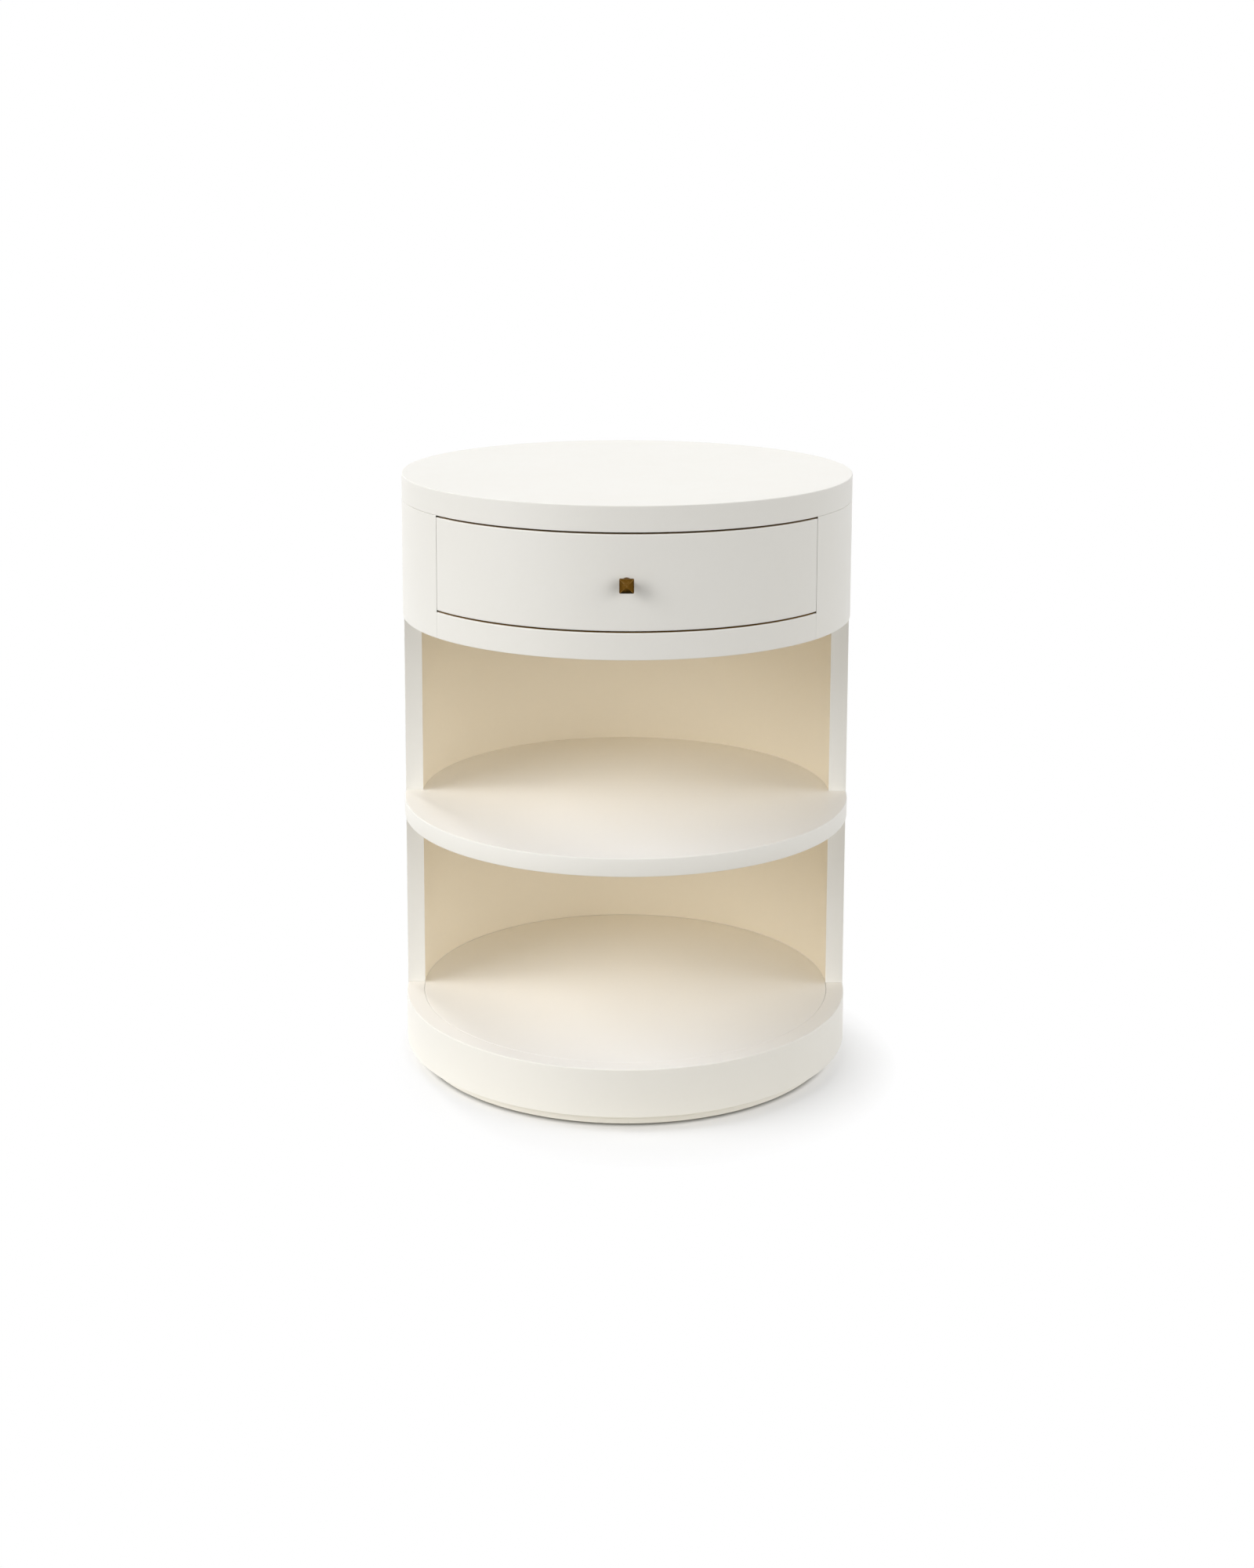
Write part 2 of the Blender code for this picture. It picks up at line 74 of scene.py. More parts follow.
def paint(name, description, default):
    """A colour in linear red, green and blue."""
    return FloatVectorProperty(
        name=name, description=description, default=default, size=3, min=0.0, max=1.0, subtype="COLOR"
    )


class NightstandSizes(bpy.types.PropertyGroup):
    """Sizes that finish the pieces; where each piece sits comes from the frame."""

    drum_radius: length("Drum radius", "Outer radius of the drum, its top and its base ring", 0.254)
    wall: length("Wall", "Thickness of the drum's curved wall", 0.020)
    ledge: length("Ledge", "Width of the ledge inside the base ring that carries the base panel", 0.012)
    seam: length("Seam", "Fitting gap between two pieces", 0.0003)
    slab_ease: length("Slab edge", "Rounding of the top slab's upper rim", 0.0010)
    crisp: length("Crisp edge", "Rounding of the wall's edges, the joints and the inner corners", 0.0003)
    shelf_ease: length("Shelf edge", "Rounding of the rims of the shelf and the base ring", 0.0008)
    lower_ease: length("Lower edge", "Rounding of the drum's lower edges, its floor and the plinth", 0.0005)
    front_ease: length("Front edge", "Rounding of the long edges of the drawer front and its rail", 0.0010)
    reveal: length("Reveal", "Gap that shows at each end of the drawer front", 0.00035)
    widen: length("Widening", "How far the finished drawer front reaches past its core at each end", 0.0006)
    gap_above: length("Gap above", "Gap that shows between the top slab and the drawer front", 0.0021)
    gap_below: length("Gap below", "Gap that shows between the drawer front and its rail", 0.0019)
    paint_depth: length("Paint depth", "Depth to which lacquer covers the edges round the drawer", 0.0008)
    bare_depth: length("Bare depth", "Depth from which the edges round the drawer are bare", 0.0028)
    hairline: length("Hairline", "Gap that shows in a closed joint", 0.0001)
    board_ease: length("Board edge", "Rounding of the edges of the birch boards", 0.0009)
    bottom_ease: length("Bottom edge", "Rounding of the edges of the drawer bottom", 0.0004)
    dowel_ease: length("Dowel edge", "Rounding of the ends of the dowels", 0.0008)
    pad_ease: length("Pad edge", "Rounding of the felt pads", 0.0006)
    rail_bend: length("Slide bend", "Outer radius of the bends in a slide member", 0.0010)
    sheet: length("Slide sheet", "Thickness of the sheet in the outer and inner slide members", 0.0012)
    race: length("Slide race", "Thickness of the flanges of the middle slide member", 0.0022)
    knob_half: length("Knob half width", "Half the width of the knob's square plate", 0.0076)
    knob_corner: length("Knob corner", "Corner radius of the knob's square plate", 0.0010)
    knob_rose: length("Knob rose", "Radius of the round rose behind the knob's neck", 0.0062)
    knob_neck: length("Knob neck", "Radius of the knob's neck", 0.0042)
    around: IntProperty(name="Points around", description="Points around a full turn", default=288, min=24)


class NightstandColors(bpy.types.PropertyGroup):
    """Colours of the finishes, each the main tone that the finish varies about."""

    lacquer: paint("Lacquer", "Warm white satin lacquer of the outside", (0.895, 0.88, 0.833))
    # Painted light: a lighter copy of the outside lacquer on the flat boards inside the drum.
    lacquer_shelf_lightened: paint("Shelf lacquer", "Lacquer on the boards inside the drum", (0.972, 0.961, 0.945))
    # Painted warm shade: the tan of the wall's hollow stands in for light bounced round inside the drum.
    lacquer_inside_shade: paint("Inside lacquer", "Lacquer on the hollow side of the wall", (0.972, 0.882, 0.715))
    # The bare colours are unpainted board, darkened to paint the shade inside the gaps round the drawer.
    bare_edge_and_gap_shade: paint("Bare edge", "Unpainted board inside the gaps round the drawer", (0.42, 0.25, 0.07))
    bare_front_and_gap_shade: paint("Bare front", "Unpainted edges and back of the drawer front", (0.52, 0.385, 0.235))
    birch_light: paint("Birch, light", "Early wood of the birch boards", (0.66, 0.49, 0.30))
    birch_dark: paint("Birch, dark", "Late wood and glue lines of the birch boards", (0.42, 0.27, 0.14))
    zinc: paint("Zinc", "Plated steel of the slides and screws", (0.60, 0.61, 0.62))
    # The brass colours paint light by facet: a highlight for the ridges, a lit tone for the upper facets, and
    # a dark tone for patina stains and the shaded lower facet.
    brass_ridge_highlight: paint("Brass, bright", "Antique brass along the rubbed ridges", (0.26, 0.165, 0.065))
    brass_lit_facets: paint("Brass, rubbed", "Antique brass where hands have rubbed it", (0.150, 0.072, 0.010))
    brass_patina_and_shade: paint("Brass, dark", "Antique brass where the patina stays", (0.018, 0.011, 0.002))
    felt: paint("Felt", "Felt under the plinth", (0.16, 0.14, 0.12))
    floor: paint("Floor", "Pale studio floor", (0.96, 0.96, 0.96))


# Surfaces


def grid_quads(rows, columns, turn_rows=False, turn_columns=False):
    """Quads between neighbouring points of a grid, closing on itself where it turns."""
    row, column = np.meshgrid(
        np.arange(rows if turn_rows else rows - 1),
        np.arange(columns if turn_columns else columns - 1),
        indexing="ij",
    )
    below, beside = (row + 1) % rows, (column + 1) % columns
    here, ahead = row * columns, below * columns
    corners = (here + column, ahead + column, ahead + beside, here + beside)
    return np.stack(corners, axis=-1).reshape(-1, 4)


def eased_outline(corners, eases, steps=5, hold=0.0008):
    """A closed outline whose corners are arcs, with a hold point on the straight at each arc's ends.

    With h half the angle at a corner and r its ease, the arc's centre lies r / sin h along the bisector
    and it touches both straights r / tan h from the corner.
    """
    corners = np.asarray(corners, float)
    eases = np.broadcast_to(np.asarray(eases, float), len(corners))[:, None]
    back = np.roll(corners, 1, axis=0) - corners
    ahead = np.roll(corners, -1, axis=0) - corners
    back /= np.linalg.norm(back, axis=1, keepdims=True)
    ahead /= np.linalg.norm(ahead, axis=1, keepdims=True)
    half = np.arccos(np.clip(np.sum(back * ahead, axis=1, keepdims=True), -1.0, 1.0)) / 2
    middle = back + ahead
    middle /= np.maximum(np.linalg.norm(middle, axis=1, keepdims=True), 1e-9)
    centre = corners + middle * eases / np.sin(half)
    reach = eases / np.tan(half)
    turn = np.sign(back[:, :1] * ahead[:, 1:] - back[:, 1:] * ahead[:, :1])
    outward = np.arctan2(-middle[:, 1:], -middle[:, :1])
    swing = np.linspace(-1.0, 1.0, steps + 1)[None, :] * (pi / 2 - half)
    angle = outward - turn * swing
    arcs = centre[:, None, :] + eases[:, None, :] * np.stack([np.cos(angle), np.sin(angle)], axis=-1)
    spare = np.where(eases > 0.0, hold, 0.0)
    first = corners + back * (reach + spare)
    last = corners + ahead * (reach + spare)
    return np.concatenate([first[:, None, :], arcs, last[:, None, :]], axis=1).reshape(-1, 2)


def turned(profile, count, ring=False):
    """A profile of radius and height turned about Z: (r cos a, r sin a, z) for a in a full turn."""
    profile = np.asarray(profile, float)
    angle = np.linspace(0.0, 2 * pi, count, endpoint=False)
    points = np.empty((len(profile), count, 3))
    points[..., 0] = profile[:, :1] * np.cos(angle)
    points[..., 1] = profile[:, :1] * np.sin(angle)
    points[..., 2] = profile[:, 1:]
    return points.reshape(-1, 3), grid_quads(len(profile), count, turn_rows=ring, turn_columns=True)


def disc_profile(radius, low, high, ease, steps=5):
    """Half section of an eased disc, from the axis below, round the rim, to the axis above."""
    corners = [(0.0, low), (radius, low), (radius, high), (0.0, high)]
    return eased_outline(corners, (0.0, ease, ease, 0.0), steps)


def side_places(side, ease, count, steps, hold):
    """Places along a side of a block: e - e tan a in each eased end, a hold line, even places between."""
    zone = ease - ease * np.tan(np.linspace(pi / 4, 0.0, steps + 1))
    between = np.linspace(ease + hold, side - ease - hold, count + 1)
    return np.concatenate([zone, between, (side - zone)[::-1]])


def eased_block(sides, ease, counts=(1, 1, 1), steps=3):
    """A block from the origin with rounded edges and corners, and the number of the face each quad is on.

    Each point p of the plain block is pulled to q + e (p - q) / |p - q|, where q is p kept inside the block
    by the ease e.
    """
    sides = np.asarray(sides, float)
    hold = min(0.0008, sides.min() * 0.1)
    places = [side_places(sides[k], ease, counts[k], steps, hold) for k in range(3)]
    points, quads, faces, first = [], [], [], 0
    for axis in range(3):
        one, two = (axis + 1) % 3, (axis + 2) % 3
        for end in range(2):
            grid = np.empty((len(places[one]), len(places[two]), 3))
            grid[..., axis] = end * sides[axis]
            grid[..., one] = places[one][:, None]
            grid[..., two] = places[two][None, :]
            made = grid_quads(*grid.shape[:2]) + first
            points.append(grid.reshape(-1, 3))
            quads.append(made)
            faces.append(np.full(len(made), 2 * axis + end))
            first += grid.shape[0] * grid.shape[1]
    points = np.concatenate(points)
    kept = np.clip(points, ease, sides - ease)
    away = points - kept
    points = kept + ease * away / np.linalg.norm(away, axis=1, keepdims=True)
    return points, np.concatenate(quads), np.concatenate(faces)


def wrapped(points, span, inner_radius, low, start, end):
    """A block bent round the drum: its first side runs from start(r) to end(r), its second is the radius.

    Angles count from the front towards +X, so a point is (r sin a, -r cos a, z).
    """
    radius = inner_radius + points[:, 1]
    first, last = start(radius), end(radius)
    angle = first + points[:, 0] / span * (last - first)
    return np.stack([radius * np.sin(angle), -radius * np.cos(angle), low + points[:, 2]], axis=1)


def swept(section, start, end, count):
    """A closed section of radius and height swept round the drum from start(r) to end(r), with its two caps.

    Angles count from the front towards +X, so a point is (r sin a, -r cos a, z).
    """
    section = np.asarray(section, float)
    radius = section[:, 0]
    share = np.linspace(0.0, 1.0, count + 1)[:, None]
    angle = start(radius) + share * (end(radius) - start(radius))
    points = np.stack([radius * np.sin(angle), -radius * np.cos(angle), 0.0 * angle + section[:, 1]], axis=-1)
    rows = len(section)
    caps = [np.arange(rows), np.arange(rows) + count * rows]
    return points.reshape(-1, 3), grid_quads(count + 1, rows, turn_columns=True), caps


def level_faces(points, faces, caps, top, bottom):
    """Which faces are the caps, or lie flat on top or bottom: 1 where they do and 0 elsewhere."""
    heights = points[faces][..., 2]
    flat = np.ptp(heights, axis=1) < 1e-6
    above = heights[:, 0] > points[:, 2].mean()
    chosen = flat & np.where(above, top, bottom)
    return np.concatenate([chosen.astype(int), np.ones(len(caps), int)])


def outline_prism(outline, low, high, ease, steps=4, hold=0.0008):
    """An outline raised from low to high with rounded rims, closed by a flat cap at each end.

    Each ring is the outline moved inwards by d along its mitred normals, with d and the height following
    quarter circles at the rims. The ease is one for all of the outline, or one for each of its points.
    """
    outline = np.asarray(outline, float)
    ease = np.broadcast_to(np.asarray(ease, float), len(outline))
    ahead = np.roll(outline, -1, axis=0) - outline
    ahead /= np.linalg.norm(ahead, axis=1, keepdims=True)
    normal = np.stack([-ahead[:, 1], ahead[:, 0]], axis=1)
    before = np.roll(normal, 1, axis=0)
    mitre = (normal + before) / (1.0 + np.sum(normal * before, axis=1, keepdims=True))
    turn = np.linspace(0.0, pi / 2, steps + 1)[:, None]
    rim = np.concatenate([ease[None] + hold, ease * (1.0 - np.sin(turn))])
    rise = np.concatenate([0.0 * ease[None], ease * (1.0 - np.cos(turn))])
    inset = np.concatenate([rim, rim[::-1]])
    points = np.empty((len(inset), len(outline), 3))
    points[..., :2] = outline + inset[..., None] * mitre
    points[..., 2] = np.concatenate([low + rise, (high - rise)[::-1]])
    count = len(outline)
    quads = grid_quads(len(inset), count, turn_columns=True)
    caps = [np.arange(count)[::-1], np.arange(count) + (len(inset) - 1) * count]
    return points.reshape(-1, 3), quads, caps


def round_board(front_radius, rear_radius, count):
    """Outline of a round board whose front and rear halves have radii of their own: (r cos a, r sin a)."""
    half_turn = np.linspace(pi, 2 * pi, count // 2 + 1)
    angle = np.concatenate([half_turn, half_turn + pi])
    radius = np.repeat([front_radius, rear_radius], len(half_turn))
    return radius[:, None] * np.stack([np.cos(angle), np.sin(angle)], axis=1)


def rounded_squares(half, corner, count):
    """Rings of a rounded square: (h - c) times the signs of each quarter, plus c (cos a, sin a)."""
    angle = np.linspace(0.0, pi / 2, count)
    quarter = np.arange(4)[:, None]
    turn = (angle[None, :] + quarter * pi / 2).reshape(-1)
    sign_x = np.repeat(np.array([1.0, -1.0, -1.0, 1.0]), count)
    sign_y = np.repeat(np.array([1.0, 1.0, -1.0, -1.0]), count)
    x = (half - corner)[:, None] * sign_x + corner[:, None] * np.cos(turn)
    y = (half - corner)[:, None] * sign_y + corner[:, None] * np.sin(turn)
    return x, y


def screw_surface(head, shank, height, deep, count=40):
    """A screw along Z with its seat at 0: a domed head with a crossed recess, and a shank pointing down.

    The head's top is height (1 - 0.45 (r / R)^4), less a recess of 0.6 height where the lesser of |x| and |y|
    is under 0.13 R and r is under 0.5 R, with slopes out to 0.19 R and 0.62 R.
    """
    reach = np.concatenate([np.linspace(0.0, 0.94, 17), [0.98, 1.0]]) * head
    angle = np.linspace(0.0, 2 * pi, count, endpoint=False)
    x, y = reach[:, None] * np.cos(angle), reach[:, None] * np.sin(angle)
    dome = height * (1.0 - 0.45 * (reach / head) ** 4)[:, None]
    slot = np.clip((0.19 * head - np.minimum(abs(x), abs(y))) / (0.06 * head), 0.0, 1.0)
    inside = np.clip((0.62 * head - reach) / (0.12 * head), 0.0, 1.0)[:, None]
    top = dome - 0.6 * height * slot * inside
    below = np.array(
        [(head, 0.0), (shank, 0.0), (shank, -deep * 0.85), (shank * 0.3, -deep), (0.0, -deep)]
    )
    lower = np.stack(
        [
            below[:, :1] * np.cos(angle),
            below[:, :1] * np.sin(angle),
            np.repeat(below[:, 1:], count, axis=1),
        ],
        axis=-1,
    )
    points = np.concatenate([np.stack([x, y, top], axis=-1), lower])
    return points.reshape(-1, 3), grid_quads(points.shape[0], count, turn_columns=True)


def mirrored(points, side):
    """Points on the named side: the right-hand ones with x times the side's sign."""
    return points * np.array([side, 1.0, 1.0])


def piece(node, points, faces, finish, body, caps=(), face_finish=None, fields=None, sharp=35.0):
    """A finished piece: welded, faces outwards, shaded, riding on its body in place of its node."""
    name = f"{node}_surface"
    mesh = bpy.data.meshes.new(name)
    mesh.from_pydata(points, [], [*faces.tolist(), *[cap.tolist() for cap in caps]])
    for key, values in (fields or {}).items():
        values = np.asarray(values, np.float32)
        if values.ndim == 2:
            mesh.attributes.new(key, "FLOAT_VECTOR", "POINT").data.foreach_set("vector", values.ravel())
        else:
            mesh.attributes.new(key, "FLOAT", "POINT").data.foreach_set("value", values)
    finishes = finish if isinstance(finish, (list, tuple)) else [finish]
    for each in finishes:
        mesh.materials.append(each)
    if face_finish is not None:
        mesh.polygons.foreach_set("material_index", np.asarray(face_finish, np.int32))
    shape = bmesh.new()
    shape.from_mesh(mesh)
    bmesh.ops.remove_doubles(shape, verts=shape.verts, dist=1e-6)
    bmesh.ops.recalc_face_normals(shape, faces=shape.faces)
    shape.to_mesh(mesh)
    shape.free()
    mesh.shade_smooth()
    mesh.set_sharp_from_angle(angle=radians(sharp))
    made = bpy.data.objects.new(name, mesh)
    bpy.context.scene.collection.objects.link(made)
    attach(made, body)
    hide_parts(node)


# Finishes


def set_inputs(tree, node, inputs):
    """Each input of a node either linked or set on its socket."""
    for key, value in inputs.items():
        if isinstance(value, bpy.types.NodeSocket):
            tree.links.new(value, node.inputs[key])
        else:
            node.inputs[key].default_value = value


def add_node(tree, kind, inputs=None, **settings):
    """A node with its settings and inputs."""
    made = tree.nodes.new(kind)
    for key, value in settings.items():
        setattr(made, key, value)
    set_inputs(tree, made, inputs or {})
    return made


def noise(tree, vector, scale, detail=2.0, roughness=0.5):
    """Fractal noise at a number of waves to the metre."""
    inputs = {"Vector": vector, "Scale": scale, "Detail": detail, "Roughness": roughness}
    return add_node(tree, "ShaderNodeTexNoise", inputs).outputs["Fac"]


def spread(tree, value, low, high, to_low=0.0, to_high=1.0):
    """A value brought from one range to another and kept inside it."""
    inputs = {"Value": value, "From Min": low, "From Max": high, "To Min": to_low, "To Max": to_high}
    return add_node(tree, "ShaderNodeMapRange", inputs).outputs["Result"]


def math(tree, operation, one, two=0.0):
    """One arithmetic step."""
    return add_node(tree, "ShaderNodeMath", {0: one, 1: two}, operation=operation).outputs["Value"]


def blend(tree, factor, one, two, blend_type="MIX"):
    """Two colours mixed by a factor."""
    inputs = {0: factor, 6: one, 7: two}
    return add_node(tree, "ShaderNodeMix", inputs, data_type="RGBA", blend_type=blend_type).outputs[2]


def object_place(tree):
    """Object coordinates."""
    return add_node(tree, "ShaderNodeTexCoord").outputs["Object"]


def stretched(tree, vector, scale):
    """A vector times a scale on each axis."""
    return add_node(tree, "ShaderNodeMapping", {"Vector": vector, "Scale": scale}).outputs["Vector"]


def bumped(tree, height, strength, distance):
    """A normal tilted by the slope of a height."""
    inputs = {"Height": height, "Strength": strength, "Distance": distance}
    return add_node(tree, "ShaderNodeBump", inputs).outputs["Normal"]


def seen_rays(tree):
    """1 for the rays by which something is seen: straight, mirrored or through glass."""
    path = add_node(tree, "ShaderNodeLightPath")
    seen = math(tree, "MAXIMUM", path.outputs["Is Camera Ray"], path.outputs["Is Glossy Ray"])
    return math(tree, "MAXIMUM", seen, path.outputs["Is Transmission Ray"])


def new_material(name):
    """An empty node material with its principled shader wired to the output."""
    material = bpy.data.materials.new(name)
    material.use_nodes = True
    tree = material.node_tree
    tree.nodes.clear()
    shader = add_node(tree, "ShaderNodeBsdfPrincipled")
    add_node(tree, "ShaderNodeOutputMaterial", {"Surface": shader.outputs["BSDF"]})
    return material, tree, shader


def new_group(name, inputs, outputs):
    """An empty shader node group with its sockets."""
    group = bpy.data.node_groups.new(name, "ShaderNodeTree")
    for label, kind in inputs:
        group.interface.new_socket(label, in_out="INPUT", socket_type=kind)
    for label, kind in outputs:
        group.interface.new_socket(label, in_out="OUTPUT", socket_type=kind)
    start = group.nodes.new("NodeGroupInput")
    end = group.nodes.new("NodeGroupOutput")
    return group, start, end


def spray_group():
    """Sprayed paint: faint clouds in the colour, uneven sheen and a fine peel."""
    found = bpy.data.node_groups.get("sprayed_paint")
    if found:
        return found
    group, start, end = new_group(
        "sprayed_paint",
        [("Vector", "NodeSocketVector"), ("Color", "NodeSocketColor")],
        [("Color", "NodeSocketColor"), ("Roughness", "NodeSocketFloat"), ("Height", "NodeSocketFloat")],
    )
    place = start.outputs["Vector"]
    clouds = spread(group, noise(group, place, 4.5, 3.0), 0.35, 0.65)
    specks = spread(group, noise(group, place, 160.0, 2.0), 0.3, 0.7, 0.0, 0.35)
    shade = math(group, "ADD", clouds, specks)
    toned = blend(group, 1.0, start.outputs["Color"], (0.985, 0.982, 0.974, 1.0), "MULTIPLY")
    color = blend(group, math(group, "MULTIPLY", shade, 0.74), start.outputs["Color"], toned)
    sheen = spread(group, noise(group, place, 34.0, 3.0), 0.3, 0.7, 0.37, 0.45)
    peel = noise(group, place, 620.0, 1.0)
    group.links.new(color, end.inputs["Color"])
    group.links.new(sheen, end.inputs["Roughness"])
    group.links.new(peel, end.inputs["Height"])
    return group


def tarnish_group():
    """Metal that has aged unevenly: broad stains and fine specks as one mask."""
    found = bpy.data.node_groups.get("aged_metal")
    if found:
        return found
    group, start, end = new_group(
        "aged_metal",
        [("Vector", "NodeSocketVector"), ("Scale", "NodeSocketFloat")],
        [("Mask", "NodeSocketFloat"), ("Height", "NodeSocketFloat")],
    )
    place, scale = start.outputs["Vector"], start.outputs["Scale"]
    stains = noise(group, place, scale, 4.0, 0.6)
    specks = noise(group, place, math(group, "MULTIPLY", scale, 9.0), 2.0)
    mask = math(group, "ADD", math(group, "MULTIPLY", stains, 0.7), math(group, "MULTIPLY", specks, 0.3))
    group.links.new(spread(group, mask, 0.36, 0.64), end.inputs["Mask"])
    group.links.new(specks, end.inputs["Height"])
    return group


def edge_fade_group():
    """Paint that wraps round the edge of a round board: its colour fades to bare board, darkened as painted
    shade, between two radii.
    """
    found = bpy.data.node_groups.get("edge_fade")
    if found:
        return found
    group, start, end = new_group(
        "edge_fade",
        [
            ("Vector", "NodeSocketVector"),
            ("Paint", "NodeSocketColor"),
            ("Bare", "NodeSocketColor"),
            ("Bare Radius", "NodeSocketFloat"),
            ("Paint Radius", "NodeSocketFloat"),
        ],
        [("Color", "NodeSocketColor")],
    )
    flat = stretched(group, start.outputs["Vector"], (1.0, 1.0, 0.0))
    away = add_node(group, "ShaderNodeVectorMath", {0: flat}, operation="LENGTH").outputs["Value"]
    painted = spread(group, away, start.outputs["Bare Radius"], start.outputs["Paint Radius"])
    color = blend(group, painted, start.outputs["Bare"], start.outputs["Paint"])
    group.links.new(color, end.inputs["Color"])
    return group


def lacquer(name, tone, specular=0.5):
    """Satin lacquer over a sprayed ground; the tone is a colour, or a function of the tree and the place."""
    found = bpy.data.materials.get(name)
    if found:
        return found
    material, tree, shader = new_material(name)
    place = object_place(tree)
    color = tone(tree, place) if callable(tone) else (*tone, 1.0)
    spray = add_node(tree, "ShaderNodeGroup", {"Vector": place, "Color": color}, node_tree=spray_group())
    normal = bumped(tree, spray.outputs["Height"], 0.05, 0.0004)
    inputs = {"Base Color": spray.outputs["Color"], "Roughness": spray.outputs["Roughness"], "Normal": normal}
    set_inputs(tree, shader, {**inputs, "Specular IOR Level": specular})
    return material


def outside_lacquer(context):
    """The lacquer of the outside."""
    return lacquer("white_lacquer_finish", context.scene.nightstand_colors.lacquer)


def inside_shade_lacquer(context):
    """The lacquer on the hollow side of the curved wall, tinted tan as painted warm shade."""
    return lacquer("inside_shade_lacquer_finish", context.scene.nightstand_colors.lacquer_inside_shade)


def lightened_shelf_lacquer(context):
    """The lacquer on the flat boards inside the drum: a lighter copy of the white lacquer as painted light,
    turning tan towards the back as painted warm shade.
    """
    colors = context.scene.nightstand_colors

    def warm_shade(tree, place):
        """Blends towards the wall's tan from the front to the back: painted warm shade."""
        front, back, most = -0.24, 0.23, 0.71
        depth = add_node(tree, "ShaderNodeSeparateXYZ", {"Vector": place}).outputs["Y"]
        shaded = spread(tree, depth, front, back, 0.0, most)
        return blend(tree, shaded, (*colors.lacquer_shelf_lightened, 1.0), (*colors.lacquer_inside_shade, 1.0))

    return lacquer("lightened_shelf_finish", warm_shade)


def fading_lacquer(context, name, bare):
    """Lacquer that wraps round an edge of the drum and fades to bare board, darkened as painted shade in the
    gaps, between two depths behind it.
    """
    painted = context.scene.nightstand_colors.lacquer
    sizes = context.scene.nightstand_sizes

    def faded(tree, place):
        """Blends from paint to bare board, darkened as painted shade, by the distance from the drum's axis.
        """
        inputs = {
            "Vector": place,
            "Paint": (*painted, 1.0),
            "Bare": (*bare, 1.0),
            "Bare Radius": sizes.drum_radius - sizes.bare_depth,
            "Paint Radius": sizes.drum_radius - sizes.paint_depth,
        }
        return add_node(tree, "ShaderNodeGroup", inputs, node_tree=edge_fade_group()).outputs["Color"]

    return lacquer(name, faded, specular=0.0)


def birch(context):
    """Birch plywood: streaks along the board, pores, and thin glue lines where an edge cuts the layers."""
    found = bpy.data.materials.get("birch_finish")
    if found:
        return found
    colors = context.scene.nightstand_colors
    material, tree, shader = new_material("birch_finish")
    grain = add_node(tree, "ShaderNodeAttribute", attribute_name="grain").outputs["Vector"]
    depth = add_node(tree, "ShaderNodeAttribute", attribute_name="ply").outputs["Fac"]
    waver = noise(tree, stretched(tree, grain, (5.0, 5.0, 5.0)), 1.0, 1.0)
    figure = noise(tree, stretched(tree, grain, (2.0, 34.0, 34.0)), 1.0, 5.0, 0.62)
    pores = noise(tree, stretched(tree, grain, (40.0, 900.0, 900.0)), 1.0, 1.0)
    streak = math(tree, "ADD", math(tree, "MULTIPLY", figure, 0.8), math(tree, "MULTIPLY", waver, 0.2))
    late = spread(tree, streak, 0.34, 0.72, 0.0, 0.62)
    wood = blend(tree, late, (*colors.birch_light, 1.0), (*colors.birch_dark, 1.0))
    wood = blend(tree, spread(tree, pores, 0.6, 0.75, 0.0, 0.25), wood, (*colors.birch_dark, 1.0))
    layers = math(tree, "MULTIPLY", depth, 9.0)
    into = math(tree, "PINGPONG", layers, 0.5)
    line = spread(tree, into, 0.0, 0.1, 1.0, 0.0)
    past, before = spread(tree, depth, 0.03, 0.08), spread(tree, depth, 0.92, 0.97, 1.0, 0.0)
    inside = math(tree, "MULTIPLY", past, before)
    cross = math(tree, "GREATER_THAN", math(tree, "PINGPONG", layers, 1.0), 0.5)
    edge = math(tree, "MULTIPLY", math(tree, "MAXIMUM", line, math(tree, "MULTIPLY", cross, 0.35)), inside)
    color = blend(tree, math(tree, "MULTIPLY", edge, 0.7), wood, (*colors.birch_dark, 1.0))
    normal = bumped(tree, pores, 0.12, 0.0003)
    roughness = spread(tree, figure, 0.3, 0.7, 0.42, 0.55)
    set_inputs(tree, shader, {"Base Color": color, "Roughness": roughness, "Normal": normal})
    return material


def zinc(context):
    """Zinc-plated steel with faint spangles."""
    found = bpy.data.materials.get("zinc_steel_finish")
    if found:
        return found
    color = np.array(context.scene.nightstand_colors.zinc)
    material, tree, shader = new_material("zinc_steel_finish")
    spots = {"Vector": object_place(tree), "Scale": 90.0}
    aged = add_node(tree, "ShaderNodeGroup", spots, node_tree=tarnish_group())
    toned = blend(tree, aged.outputs["Mask"], (*color, 1.0), (*(color * 0.72), 1.0))
    roughness = spread(tree, aged.outputs["Mask"], 0.0, 1.0, 0.30, 0.46)
    normal = bumped(tree, aged.outputs["Height"], 0.06, 0.0002)
    set_inputs(tree, shader, {"Base Color": toned, "Metallic": 1.0, "Roughness": roughness, "Normal": normal})
    return material


